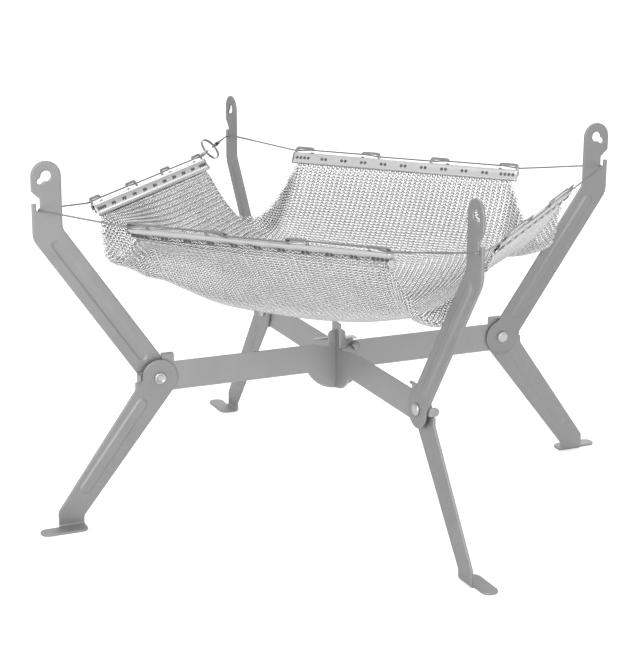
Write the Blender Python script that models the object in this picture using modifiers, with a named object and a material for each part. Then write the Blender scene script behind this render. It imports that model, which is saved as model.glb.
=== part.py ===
"""Portable fire pit: two crossed flat bars, four folding legs and arms, and a ring mesh tray hung on a cable.

Metres, +Z up, the floor at z = 0, the crossing of the bars on the Z axis.
A corner has its own axes: u outward along the bar, t sideways (z cross u) and z up.
"""

import math

import bmesh
import bpy
import numpy as np
from mathutils import Matrix, Vector

# Sheet and gaps
SHEET = 0.002
GAP = 0.0003
EDGE_ROUND = 0.00025
BEND_RADIUS = 0.0019

# Knee rivets
SHANK_RADIUS = 0.003
RUNNING_FIT = 0.00008
HOLE_RADIUS = SHANK_RADIUS + RUNNING_FIT
HEAD_RADIUS = 0.0054
HEAD_HEIGHT = 0.0021
ROLL_RADIUS = 0.0052
ROLL_HEIGHT = 0.0017

# Bars
BAR_DEPTH = 0.025
BAR_BOTTOM = 0.1095
BAR_TOP = BAR_BOTTOM + BAR_DEPTH
PIVOT_REACH = 0.165
PIVOT_HEIGHT = BAR_BOTTOM + BAR_DEPTH / 2
BELLY_RADIUS = 0.031
BELLY_BOTTOM = BAR_BOTTOM - 0.0166
LAP_HEIGHT = BAR_BOTTOM + 0.0055
LAP_HALF_WIDTH = SHEET / 2 + GAP
EAR_HALF_WIDTH = 0.0085
EAR_ROUND = 0.005
EAR_TOP = BAR_TOP + 0.0115
TAB_HALF_WIDTH = 0.008
TAB_TOP = BAR_TOP + 0.0183
DIP_HEIGHT = BAR_TOP - 0.0055
DIP_REACH = 0.038

# Arms, in the layer beside the bar
LAYER = SHEET + GAP
ARM_ANGLE = math.radians(55.2)
ARM_HALF_WIDTH = 0.0125
KNEE_RADIUS = 0.016
POST_REACH = PIVOT_REACH + 0.0913
NOTCH_BOTTOM = 0.2725
NOTCH_MIDDLE = POST_REACH + 0.00725
NOTCH_HALF_WIDTH = 0.00165
NOTCH_LIP = NOTCH_BOTTOM + 0.0067
NOTCH_ROOF_INNER = NOTCH_BOTTOM + 0.010
NOTCH_ROOF_OUTER = NOTCH_BOTTOM + 0.0165
POST_TOP_CENTRE = NOTCH_BOTTOM + 0.0285
KEYHOLE_RADIUS = 0.0045
KEYHOLE_SLOT = 0.0024
KEYHOLE_REACH = 0.0067
KEYHOLE_ANGLE = math.radians(-38)

# Stops on the bars: a ledge against the arm and a round tab over the leg's shoulder
LEDGE_HEIGHT = BAR_TOP + 0.0068
LEDGE_FAR = (
    PIVOT_REACH
    + (LEDGE_HEIGHT - SHEET / 2 - PIVOT_HEIGHT) / math.tan(ARM_ANGLE)
    - ARM_HALF_WIDTH / math.sin(ARM_ANGLE)
    - GAP
)
LEDGE_LENGTH = 0.0108
LEDGE_NEAR = LEDGE_FAR - LEDGE_LENGTH
LEDGE_DEPTH = LAYER + SHEET / 2
STOP_REACH = PIVOT_REACH + KNEE_RADIUS + 0.003
STOP_HEIGHT = PIVOT_HEIGHT + 0.0022
STOP_RADIUS = 0.0037
STOP_DEPTH = 0.0075

# Legs, in the layer on the other side of the bar
SHOULDER_REACH = STOP_REACH + 0.0028
SHOULDER_TOP = STOP_HEIGHT - STOP_RADIUS - GAP
SHOULDER_HEIGHT = 0.0066
FOOT_INNER = PIVOT_REACH + 0.070
FOOT_OUTER = FOOT_INNER + 0.022
FOOT_TIP = FOOT_OUTER + 0.0185
FOOT_DEPTH = 0.0185
FOOT_ROUND = 0.0064
ANKLE_OUTER = 0.0145
ANKLE_INNER = 0.0085

# Stamped beads, from and to a distance from the rivet
ARM_BEAD = (KNEE_RADIUS + 0.008, 0.148)
ARM_BEAD_WIDTH = 0.0048
LEG_BEAD = (KNEE_RADIUS + 0.011, 0.112)
LEG_BEAD_WIDTH = 0.0055
BEAD_HEIGHT = 0.0012

# Tray rails, tilted with the pull of the mesh, inside the square between the notches
RAIL_HALF_LENGTH = 0.112
RAIL_TILT = math.radians(31)
RAIL_INSET = 0.00825
RAIL_REACH = NOTCH_MIDDLE * math.cos(math.radians(45)) - RAIL_INSET
RAIL_HEIGHT = NOTCH_BOTTOM - 0.00825
RAIL_WIDTH = 0.0115
LEAF = 0.0008
FOLD_TOP = -0.0004
FOLD_INSIDE = FOLD_TOP + 0.0013
HOOK_SHEET = 0.001
HOOK_HALF_LENGTH = 0.010
HOOK_CENTRES = (RAIL_HALF_LENGTH - HOOK_HALF_LENGTH - 0.0004, 0.0343)
HOOK_TOP = 0.0065
HOOK_BAR = 0.0024
HOOK_LEG = 0.0028
CLINCH_PITCH = 0.020
OUTER_LEAF = 0.0045
LOBE_DEPTH = 0.0034
LOBE_HALF = 0.0042

# Ring mesh: a net of small cells, hung from the rails
MESH_THICKNESS = 0.0015
MESH_SLACK = 0.0154
MESH_HALF = RAIL_REACH + MESH_SLACK
MESH_CELLS = 22
MESH_RAIL_CELLS = 6
SLOT_HALF = MESH_THICKNESS / 2 + 0.00035
MESH_CLAMPED = RAIL_WIDTH - FOLD_INSIDE - 0.0007

# Cable, ring and ferrules
CABLE_RADIUS = 0.00075
CABLE_CORNER_HEIGHT = NOTCH_BOTTOM + CABLE_RADIUS + GAP
CABLE_OVER_RAIL = 0.00305
CABLE_SIDE = HOOK_SHEET / 2 + CABLE_RADIUS + 0.00035
RING_RADIUS = 0.0105
RING_WIRE = 0.0009
RING_FROM_RAIL = 0.0265
RING_TILT = math.radians(-49)
EYE_RADIUS = RING_WIRE + CABLE_RADIUS + 0.0004
STRAND_HALF = CABLE_RADIUS + 0.0001
FERRULE_WALL = 0.0006
FERRULE_LENGTH = 0.0048
FERRULE_FROM_HUB = 0.0061

# Latch at the crossing
LATCH_SHEET = 0.0015
LATCH_HEIGHT = BAR_TOP + 2 * GAP + LATCH_SHEET / 2
LATCH_PIN = (EAR_HALF_WIDTH + 0.0075, BAR_TOP - 0.0042)
LATCH_CLEARANCE = 0.0005
LATCH_PRONG = 0.0040
LATCH_REACH = 0.019
LATCH_LUG_RADIUS = 0.0042
LATCH_BEND = 0.0011
PIN_RADIUS = 0.0015
PIN_HEAD_RADIUS = 0.0035
SPRING_WIRE = 0.0006
SPRING_CLEARANCE = 0.0004
SPRING_TURNS = 1.5
SPRING_PITCH = 0.00184
SPRING_DEPTH = SHEET / 2 + SPRING_TURNS * SPRING_PITCH + SPRING_WIRE + GAP

CORNERS = {"right": 0, "back": 90, "left": 180, "front": 270}
SIDES = {"rear": 45, "left": 135, "front": 225, "right": 315}


def clear_scene():
    for obj in list(bpy.data.objects):
        bpy.data.objects.remove(obj, do_unlink=True)


def new_collection(name, hidden=False):
    collection = bpy.data.collections.new(name)
    collection.hide_render = hidden
    bpy.context.scene.collection.children.link(collection)
    return collection


def material(name, colour, metallic=0.85, roughness=0.45):
    made = bpy.data.materials.new(name)
    made.use_nodes = True
    shader = made.node_tree.nodes["Principled BSDF"]
    shader.inputs["Base Color"].default_value = (*colour, 1)
    shader.inputs["Metallic"].default_value = metallic
    shader.inputs["Roughness"].default_value = roughness
    return made


def add_object(name, data, collection, colour=None):
    obj = bpy.data.objects.new(name, data)
    collection.objects.link(obj)
    if colour:
        data.materials.append(material(name, colour))
    return obj


def as_cutter(obj):
    obj.hide_render = True
    obj.display_type = "WIRE"
    return obj


def boolean(obj, other, operation="DIFFERENCE"):
    modifier = obj.modifiers.new(other.name, "BOOLEAN")
    modifier.operation = operation
    modifier.object = other
    modifier.solver = "EXACT"


def arc(centre, radius, start, end, steps):
    """Points on an arc, angles in degrees, both ends included."""
    angles = [math.radians(start + (end - start) * i / steps) for i in range(steps + 1)]
    return [(centre[0] + radius * math.cos(a), centre[1] + radius * math.sin(a)) for a in angles]


def rounded(corners, steps=4):
    """A closed outline from (x, y, radius) corners, each turned into an arc where its radius is not 0."""
    points = []
    for i, (x, y, radius) in enumerate(corners):
        here = Vector((x, y))
        if not radius:
            points.append((x, y))
            continue
        before = (Vector(corners[i - 1][:2]) - here).normalized()
        after = (Vector(corners[(i + 1) % len(corners)][:2]) - here).normalized()
        half = before.angle(after) / 2
        centre = here + (before + after).normalized() * (radius / math.sin(half))
        first = here + before * (radius / math.tan(half)) - centre
        last = here + after * (radius / math.tan(half)) - centre
        turn = first.angle_signed(last)
        for k in range(steps + 1):
            spoke = first.copy()
            spoke.rotate(Matrix.Rotation(-turn * k / steps, 2))
            points.append(tuple(centre + spoke))
    return points


def face_from(bm, points):
    return bm.faces.new([bm.verts.new(point) for point in points])


def bend_strip(bm, first, last, centre, axis, angle, steps=3):
    """Carries the edge first-last round an axis and returns the edge at the end of the bend."""
    for _ in range(steps):
        turn = Matrix.Translation(centre) @ Matrix.Rotation(angle / steps, 4, axis) @ Matrix.Translation(-centre)
        following = [bm.verts.new(turn @ vert.co) for vert in (first, last)]
        bm.faces.new((first, last, following[1], following[0]))
        first, last = following
    return first, last


def solid_sheet(name, bm, thickness, collection, colour):
    """Gives an open shell its thickness, centred on the shell, and breaks its edges a little."""
    bmesh.ops.recalc_face_normals(bm, faces=bm.faces)
    mesh = bpy.data.meshes.new(name)
    bm.to_mesh(mesh)
    bm.free()
    obj = add_object(name, mesh, collection, colour)
    solid = obj.modifiers.new("thickness", "SOLIDIFY")
    solid.thickness = thickness
    solid.offset = 0
    solid.use_even_offset = True
    edges = obj.modifiers.new("edges", "BEVEL")
    edges.width = EDGE_ROUND
    edges.segments = 1
    edges.limit_method = "ANGLE"
    edges.angle_limit = math.radians(50)
    return obj


def cylinder(name, radius, length, collection, steps=32):
    """A round bar along its own Z, centred on its origin."""
    bm = bmesh.new()
    bmesh.ops.create_cone(
        bm, cap_ends=True, segments=steps, radius1=radius, radius2=radius, depth=length
    )
    mesh = bpy.data.meshes.new(name)
    bm.to_mesh(mesh)
    bm.free()
    return add_object(name, mesh, collection)


def box(name, low, high, collection):
    bm = bmesh.new()
    bmesh.ops.create_cube(bm, size=1)
    size = Vector(high) - Vector(low)
    middle = (Vector(high) + Vector(low)) / 2
    bmesh.ops.scale(bm, vec=size, verts=bm.verts)
    bmesh.ops.translate(bm, vec=middle, verts=bm.verts)
    mesh = bpy.data.meshes.new(name)
    bm.to_mesh(mesh)
    bm.free()
    return add_object(name, mesh, collection)


def prism(name, outline, low, high, collection, colour=None):
    """An outline in the local XZ plane, given thickness along local Y from low to high."""
    bm = bmesh.new()
    face = face_from(bm, [(x, low, z) for x, z in outline])
    grown = bmesh.ops.extrude_face_region(bm, geom=[face])
    verts = [item for item in grown["geom"] if isinstance(item, bmesh.types.BMVert)]
    bmesh.ops.translate(bm, vec=(0, high - low, 0), verts=verts)
    bmesh.ops.recalc_face_normals(bm, faces=bm.faces)
    mesh = bpy.data.meshes.new(name)
    bm.to_mesh(mesh)
    bm.free()
    return add_object(name, mesh, collection, colour)


def slot_outline(start, end, half_width, steps=6):
    """A long outline with round ends, from start to end."""
    way = math.degrees(math.atan2(end[1] - start[1], end[0] - start[0]))
    return arc(start, half_width, way + 90, way + 270, steps) + arc(end, half_width, way - 90, way + 90, steps)


def bead(name, start, end, half_base, half_top, low, high, collection):
    """A stamped bead with sloping sides, its base at local Y low and its crown at high."""
    bm = bmesh.new()
    base = face_from(bm, [(x, low, z) for x, z in slot_outline(start, end, half_base)])
    crown = face_from(bm, [(x, high, z) for x, z in slot_outline(start, end, half_top)])
    below, above = list(base.verts), list(crown.verts)
    for i in range(len(below)):
        bm.faces.new((below[i - 1], below[i], above[i], above[i - 1]))
    bmesh.ops.recalc_face_normals(bm, faces=bm.faces)
    mesh = bpy.data.meshes.new(name)
    bm.to_mesh(mesh)
    bm.free()
    return as_cutter(add_object(name, mesh, collection))


def lathe(name, profile, collection, colour, steps=28):
    """Turns a profile of (radius, height) points, listed from the top down, round local Z."""
    mesh = bpy.data.meshes.new(name)
    mesh.from_pydata([(r, 0, z) for r, z in profile], [(i, i + 1) for i in range(len(profile) - 1)], [])
    obj = add_object(name, mesh, collection, colour)
    screw = obj.modifiers.new("turned", "SCREW")
    screw.steps = steps
    screw.render_steps = steps
    screw.use_merge_vertices = True
    screw.merge_threshold = 0.00001
    return obj


def wire(name, points, radius, collection, colour, closed=False, resolution=1):
    curve = bpy.data.curves.new(name, "CURVE")
    curve.dimensions = "3D"
    curve.bevel_depth = radius
    curve.bevel_resolution = resolution
    curve.use_fill_caps = not closed
    spline = curve.splines.new("POLY")
    spline.points.add(len(points) - 1)
    for point, place in zip(spline.points, points):
        point.co = (*place, 1)
    spline.use_cyclic_u = closed
    return add_object(name, curve, collection, colour)


def place(obj, angle, at=(0, 0, 0)):
    obj.rotation_euler = (0, 0, math.radians(angle))
    obj.location = Matrix.Rotation(math.radians(angle), 3, "Z") @ Vector(at)
    return obj


# Bars
def bar_end(crossing_top, crossing_bottom):
    """Upper and lower halves of one bar's outline, from the crossing to its round end."""
    pivot = (PIVOT_REACH, PIVOT_HEIGHT)
    neck = math.degrees(math.asin((STOP_HEIGHT + STOP_RADIUS - PIVOT_HEIGHT) / (BAR_DEPTH / 2)))
    chin = math.degrees(math.asin((STOP_HEIGHT - STOP_RADIUS - PIVOT_HEIGHT) / (BAR_DEPTH / 2)))
    upper = crossing_top + [
        (LEDGE_NEAR, BAR_TOP),
        (LEDGE_NEAR, LEDGE_HEIGHT - BEND_RADIUS),
        (LEDGE_FAR, LEDGE_HEIGHT - BEND_RADIUS),
        (LEDGE_FAR, BAR_TOP - 0.0004),
    ]
    upper += arc(pivot, BAR_DEPTH / 2, 84, neck, 5)
    upper.append((STOP_REACH - BEND_RADIUS, STOP_HEIGHT + STOP_RADIUS))
    lower = [(STOP_REACH - BEND_RADIUS, STOP_HEIGHT - STOP_RADIUS)]
    lower += arc(pivot, BAR_DEPTH / 2, chin, -90, 6)
    lower[-1] = (PIVOT_REACH, BAR_BOTTOM)
    return upper, lower + crossing_bottom


def find_vert(bm, x, z):
    return min(bm.verts, key=lambda vert: (vert.co - Vector((x, 0, z))).length)


def bend_stops(bm, side):
    """The ledge that stops the arm, bent to -t, and the round tab that stops the leg, bent to +t."""
    near = find_vert(bm, side * LEDGE_NEAR, LEDGE_HEIGHT - BEND_RADIUS)
    far = find_vert(bm, side * LEDGE_FAR, LEDGE_HEIGHT - BEND_RADIUS)
    centre = Vector((0, -side * BEND_RADIUS, LEDGE_HEIGHT - BEND_RADIUS))
    near, far = bend_strip(bm, near, far, centre, Vector((1, 0, 0)), side * math.pi / 2)
    drop = Vector((0, -side * (LEDGE_DEPTH - BEND_RADIUS), 0))
    bm.faces.new((near, far, bm.verts.new(far.co + drop), bm.verts.new(near.co + drop)))
    top = find_vert(bm, side * (STOP_REACH - BEND_RADIUS), STOP_HEIGHT + STOP_RADIUS)
    low = find_vert(bm, side * (STOP_REACH - BEND_RADIUS), STOP_HEIGHT - STOP_RADIUS)
    centre = Vector((side * (STOP_REACH - BEND_RADIUS), side * BEND_RADIUS, 0))
    top, low = bend_strip(bm, top, low, centre, Vector((0, 0, 1)), math.pi / 2)
    end = [(top.co.x, side * y, z) for y, z in arc((STOP_DEPTH - STOP_RADIUS, STOP_HEIGHT), STOP_RADIUS, 90, -90, 8)]
    bm.faces.new([top, *(bm.verts.new(point) for point in end), low])


def bar(name, top_right, top_left, collection, cutters, colour):
    """A flat bar on edge. The crossing's outline goes in as points from the centre outward."""
    belly_centre = (0, BELLY_BOTTOM + BELLY_RADIUS)
    reach = math.degrees(math.acos((belly_centre[1] - BAR_BOTTOM) / BELLY_RADIUS))
    right_up, right_low = bar_end(top_right, [])
    left_up, left_low = bar_end(top_left, [])
    outline = right_up + right_low
    outline += arc(belly_centre, BELLY_RADIUS, -90 + reach, -90 - reach, 14)
    outline += [(-x, z) for x, z in reversed(left_up + left_low)]
    bm = bmesh.new()
    face_from(bm, [(x, 0, z) for x, z in outline])
    bend_stops(bm, 1)
    bend_stops(bm, -1)
    obj = solid_sheet(name, bm, SHEET, collection, colour)
    for side in (1, -1):
        hole = as_cutter(cylinder(f"{name}_hole", HOLE_RADIUS, 0.01, cutters))
        hole.location = (side * PIVOT_REACH, 0, PIVOT_HEIGHT)
        hole.rotation_euler = (math.pi / 2, 0, 0)
        hole.parent = obj
        boolean(obj, hole)
    return obj


def crossed_bars(nodes, cutters):
    """The lower bar along X takes the upper bar, along Y, in a half lap."""
    ear = rounded(
        [
            (0, BAR_BOTTOM, 0), (EAR_HALF_WIDTH, BAR_BOTTOM, 0), (EAR_HALF_WIDTH, EAR_TOP, EAR_ROUND),
            (0, EAR_TOP, 0),
        ]
    )[2:]
    right = ear[::-1][:-1] + [(EAR_HALF_WIDTH, BAR_TOP)]
    left = ear[::-1][:-1] + [
        (EAR_HALF_WIDTH, BAR_TOP - 0.0035), (2 * EAR_HALF_WIDTH, BAR_TOP - 0.0017),
        (2.5 * EAR_HALF_WIDTH, BAR_TOP),
    ]
    lower = bar("lower_bar", right, left, nodes, cutters, (0.30, 0.31, 0.32))
    tab = [(TAB_HALF_WIDTH - 0.0012, TAB_TOP), (TAB_HALF_WIDTH, TAB_TOP - 0.0012)]
    dip = tab + [(TAB_HALF_WIDTH, DIP_HEIGHT), (1.5 * TAB_HALF_WIDTH, DIP_HEIGHT + 0.0003)]
    back, front = dip + [(2 * TAB_HALF_WIDTH, BAR_TOP)], dip + [(DIP_REACH, BAR_TOP)]
    upper = bar("upper_bar", back, front, nodes, cutters, (0.31, 0.32, 0.33))
    upper.rotation_euler = (0, 0, math.pi / 2)
    across = 4 * SHEET
    low_slot = box(
        "lower_bar_lap", (-LAP_HALF_WIDTH, -across, LAP_HEIGHT),
        (LAP_HALF_WIDTH, across, EAR_TOP + across), cutters,
    )
    high_slot = box(
        "upper_bar_lap", (-across, -LAP_HALF_WIDTH, BELLY_BOTTOM - across),
        (across, LAP_HALF_WIDTH, LAP_HEIGHT + GAP), cutters,
    )
    boolean(lower, as_cutter(low_slot))
    boolean(upper, as_cutter(high_slot))
    pin_hole = as_cutter(cylinder("latch_pin_hole", PIN_RADIUS + RUNNING_FIT, 0.01, cutters, 20))
    pin_hole.location = (LATCH_PIN[0], 0, LATCH_PIN[1])
    pin_hole.rotation_euler = (math.pi / 2, 0, 0)
    boolean(lower, pin_hole)


# Arms
def arm_outline():
    """The arm in its own plane, measured from its rivet: knee disc, sloping part, upright with the cable notch."""
    way = Vector((math.cos(ARM_ANGLE), math.sin(ARM_ANGLE)))
    outward = Vector((way.y, -way.x))
    neck = math.degrees(math.asin(ARM_HALF_WIDTH / KNEE_RADIUS))
    axis = math.degrees(ARM_ANGLE)
    points = [(*p, 0) for p in arc((0, 0), KNEE_RADIUS, axis + neck, axis + 360 - neck, 26)]
    outer = POST_REACH + ARM_HALF_WIDTH - PIVOT_REACH
    inner = POST_REACH - ARM_HALF_WIDTH - PIVOT_REACH
    outer_bend = (outward.x * outer - ARM_HALF_WIDTH) / way.x
    inner_bend = (outward.x * inner + ARM_HALF_WIDTH) / way.x
    lip = NOTCH_LIP - PIVOT_HEIGHT
    radius = NOTCH_HALF_WIDTH
    slot_in = NOTCH_MIDDLE - radius - PIVOT_REACH
    slot_out = NOTCH_MIDDLE + radius - PIVOT_REACH
    bottom = NOTCH_BOTTOM - PIVOT_HEIGHT + radius
    points += [(outer, outer_bend, 0.016), (outer, lip, 0.0008), (slot_out, lip, 0.0008)]
    points += [(*p, 0) for p in arc(((slot_in + slot_out) / 2, bottom), radius, 0, -180, 6)]
    points += [
        (slot_in, NOTCH_ROOF_INNER - PIVOT_HEIGHT, 0.0008),
        (outer, NOTCH_ROOF_OUTER - PIVOT_HEIGHT, 0.001),
    ]
    top = (POST_REACH - PIVOT_REACH, POST_TOP_CENTRE - PIVOT_HEIGHT)
    points += [(*p, 0) for p in arc(top, ARM_HALF_WIDTH, 0, 180, 14)]
    points.append((inner, inner_bend, 0.010))
    return rounded(points)


def keyhole_outline():
    side = math.degrees(math.asin(KEYHOLE_SLOT / KEYHOLE_RADIUS))
    way = math.degrees(KEYHOLE_ANGLE)
    end = (KEYHOLE_REACH * math.cos(KEYHOLE_ANGLE), KEYHOLE_REACH * math.sin(KEYHOLE_ANGLE))
    return arc((0, 0), KEYHOLE_RADIUS, way + side, way + 360 - side, 20) + arc(
        end, KEYHOLE_SLOT, way - 90, way + 90, 8
    )


def arm(corner, angle, nodes, cutters):
    name = f"arm_{corner}"
    bm = bmesh.new()
    face_from(bm, [(x, -LAYER, z) for x, z in arm_outline()])
    obj = solid_sheet(name, bm, SHEET, nodes, (0.34, 0.35, 0.36))
    hole = as_cutter(cylinder(f"{name}_hole", HOLE_RADIUS, 0.02, cutters))
    hole.rotation_euler = (math.pi / 2, 0, 0)
    keyhole = [
        (x + POST_REACH - PIVOT_REACH, z + POST_TOP_CENTRE - PIVOT_HEIGHT) for x, z in keyhole_outline()
    ]
    key = as_cutter(prism(f"{name}_keyhole", keyhole, -0.01, 0.01, cutters))
    way = Vector((math.cos(ARM_ANGLE), math.sin(ARM_ANGLE)))
    start, end = way * ARM_BEAD[0], way * ARM_BEAD[1]
    face, back = -LAYER - SHEET / 2, -LAYER + SHEET / 2
    crown = bead(
        f"{name}_bead", start, end, ARM_BEAD_WIDTH + 0.0006, ARM_BEAD_WIDTH - 0.0018,
        face + 0.0004, face - BEAD_HEIGHT, cutters,
    )
    hollow = bead(
        f"{name}_hollow", start, end, ARM_BEAD_WIDTH, ARM_BEAD_WIDTH - 0.0019,
        back + 0.0004, back - 0.0009, cutters,
    )
    boolean(obj, crown, "UNION")
    for cutter in (hollow, hole, key):
        boolean(obj, cutter)
    for helper in (hole, key, crown, hollow):
        helper.parent = obj
    place(obj, angle, (PIVOT_REACH, 0, PIVOT_HEIGHT))


# Legs
def leg_outline():
    """The leg in its own plane, measured from its rivet, down to the line where the foot bends off."""
    shoulder = SHOULDER_REACH - PIVOT_REACH
    top = SHOULDER_TOP - PIVOT_HEIGHT
    meet = math.degrees(math.asin(top / KNEE_RADIUS))
    ankle = Vector((FOOT_INNER - PIVOT_REACH, ANKLE_INNER - PIVOT_HEIGHT))
    way = math.degrees(math.atan2(ankle.y, ankle.x))
    tangent = way - math.degrees(math.acos(KNEE_RADIUS / ankle.length))
    points = [(*p, 0) for p in arc((0, 0), KNEE_RADIUS, meet, 360 + tangent, 22)]
    points += [
        (FOOT_INNER - PIVOT_REACH, ANKLE_INNER - PIVOT_HEIGHT, 0.004),
        (FOOT_INNER - PIVOT_REACH, SHEET / 2 + BEND_RADIUS - PIVOT_HEIGHT, 0),
        (FOOT_OUTER - PIVOT_REACH, SHEET / 2 + BEND_RADIUS - PIVOT_HEIGHT, 0),
        (FOOT_OUTER - PIVOT_REACH, ANKLE_OUTER - PIVOT_HEIGHT, 0.006),
        (shoulder, top - SHOULDER_HEIGHT, 0.004),
        (shoulder, top, 0.0008),
    ]
    return rounded(points)


def bend_foot(bm):
    """The foot flange, bent outward from the leg's side and longer than the leg is wide."""
    height = SHEET / 2 - PIVOT_HEIGHT
    inner = find_vert(bm, FOOT_INNER - PIVOT_REACH, height + BEND_RADIUS)
    outer = find_vert(bm, FOOT_OUTER - PIVOT_REACH, height + BEND_RADIUS)
    centre = Vector((0, LAYER + BEND_RADIUS, height + BEND_RADIUS))
    inner, outer = bend_strip(bm, inner, outer, centre, Vector((1, 0, 0)), math.pi / 2, 4)
    near, deep = LAYER + BEND_RADIUS + 0.0004, FOOT_DEPTH
    tip, heel = FOOT_TIP - PIVOT_REACH, FOOT_INNER + 0.0002 - PIVOT_REACH
    corners = [
        (inner.co.x, inner.co.y, 0),
        (heel, deep, FOOT_ROUND),
        (tip, deep, FOOT_ROUND),
        (tip, near, FOOT_ROUND),
        (outer.co.x + 0.0002, near, 0),
    ]
    points = rounded(corners)[1:]
    bm.faces.new([inner, *(bm.verts.new((x, y, height)) for x, y in points), outer])


def leg(corner, angle, nodes, cutters):
    name = f"leg_{corner}"
    bm = bmesh.new()
    face_from(bm, [(x, LAYER, z) for x, z in leg_outline()])
    bend_foot(bm)
    obj = solid_sheet(name, bm, SHEET, nodes, (0.35, 0.36, 0.37))
    hole = as_cutter(cylinder(f"{name}_hole", HOLE_RADIUS, 0.02, cutters))
    hole.rotation_euler = (math.pi / 2, 0, 0)
    way = Vector((math.cos(math.radians(-53.2)), math.sin(math.radians(-53.2))))
    side = Vector((way.y, -way.x))
    start, end = way * LEG_BEAD[0] - side * 0.0006, way * LEG_BEAD[1] - side * 0.0006
    face, back = LAYER + SHEET / 2, LAYER - SHEET / 2
    crown = bead(
        f"{name}_bead", start, end, LEG_BEAD_WIDTH + 0.0006, LEG_BEAD_WIDTH - 0.0018,
        face - 0.0004, face + 0.0008, cutters,
    )
    hollow = bead(
        f"{name}_hollow", start, end, LEG_BEAD_WIDTH, LEG_BEAD_WIDTH - 0.0019,
        back - 0.0004, back + 0.0006, cutters,
    )
    boolean(obj, crown, "UNION")
    boolean(obj, hollow)
    boolean(obj, hole)
    for helper in (hole, crown, hollow):
        helper.parent = obj
    place(obj, angle, (PIVOT_REACH, 0, PIVOT_HEIGHT))


# Knee rivets
def knee_rivet(corner, angle, nodes):
    """A round head against the arm, and a rolled end with a dished centre against the leg."""
    arm_face = -LAYER - SHEET / 2 - GAP
    leg_face = LAYER + SHEET / 2 + GAP
    top = leg_face + ROLL_HEIGHT
    low = arm_face - HEAD_HEIGHT
    profile = [
        (0, top - 0.0009), (0.0022, top - 0.0008), (0.0029, top - 0.0001), (0.0036, top),
        (0.0046, top - 0.0003), (ROLL_RADIUS, top - 0.0009), (ROLL_RADIUS - 0.0003, leg_face),
        (SHANK_RADIUS, leg_face), (SHANK_RADIUS, arm_face), (HEAD_RADIUS, arm_face),
        (HEAD_RADIUS, arm_face - 0.0009), (HEAD_RADIUS - 0.0008, low + 0.0004), (0.0026, low), (0, low),
    ]
    obj = lathe(f"knee_rivet_{corner}", profile, nodes, (0.62, 0.62, 0.62))
    place(obj, angle, (PIVOT_REACH, 0, PIVOT_HEIGHT))
    obj.rotation_euler = (-math.pi / 2, 0, math.radians(angle))


# Latch at the crossing
def latch_outline():
    """The latch from above, measured from its pin: a plate behind the lower bar with a prong over the upper bar."""
    x = LATCH_PIN[0]
    inner = TAB_HALF_WIDTH + LATCH_CLEARANCE
    outer = inner + LATCH_PRONG
    near, tip = 0.003 - x, -LATCH_REACH - x
    slot = SHEET / 2 + LATCH_CLEARANCE
    end, bend = 0.0045, inner + 0.0005
    outline = [
        (end, slot, 0), (end, bend, 0), (-0.0040, bend, 0), (-0.0046, outer, 0), (tip + 0.004, outer + 0.0010, 0.003),
        (tip, inner + 0.0008, 0.0003), (tip + 0.0005, inner, 0.0003), (near, inner, 0.001), (near, slot, 0.001),
    ]
    return rounded(outline, 3), end, bend


def latch(nodes, cutters):
    """A plate hinged on a pin through the lower bar. Its prong lies over the upper bar and holds it down."""
    x, z = LATCH_PIN
    top = LATCH_HEIGHT - z
    outline, end, bend = latch_outline()
    bm = bmesh.new()
    face_from(bm, [(px, py, top) for px, py in outline])
    corners = [Vector((px, bend, top)) for px in (-0.0040, end)]
    edge = [min(bm.verts, key=lambda vert, at=at: (vert.co - at).length) for at in corners]
    first, last = bend_strip(bm, *edge, Vector((0, bend, top - LATCH_BEND)), Vector((1, 0, 0)), -math.pi / 2)
    lug = [(px, first.co.y, pz) for px, pz in arc((0.00025, 0), LATCH_LUG_RADIUS, 0, -180, 8)]
    bm.faces.new([first, last, *(bm.verts.new(point) for point in lug)])
    obj = solid_sheet("latch_plate", bm, LATCH_SHEET, nodes, (0.66, 0.66, 0.66))
    hole = as_cutter(cylinder("latch_plate_hole", PIN_RADIUS + RUNNING_FIT, 0.04, cutters, 20))
    hole.rotation_euler = (math.pi / 2, 0, 0)
    hole.parent = obj
    boolean(obj, hole)
    obj.location = (x, 0, z)
    knob = SPRING_DEPTH + SPRING_WIRE + GAP
    foot = -(bend + LATCH_BEND + LATCH_SHEET / 2 + GAP)
    profile = [
        (0, knob + 0.0019), (0.0018, knob + 0.0018), (0.0030, knob + 0.0012), (PIN_HEAD_RADIUS, knob),
        (PIN_RADIUS, knob), (PIN_RADIUS, foot), (0.0026, foot), (0.0026, foot - 0.0007),
        (0.0012, foot - 0.0011), (0, foot - 0.0011),
    ]
    pin = lathe("latch_pin", profile, nodes, (0.55, 0.55, 0.55), 20)
    pin.location = (x, 0, z)
    pin.rotation_euler = (math.pi / 2, 0, 0)
    latch_spring(nodes)


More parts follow.
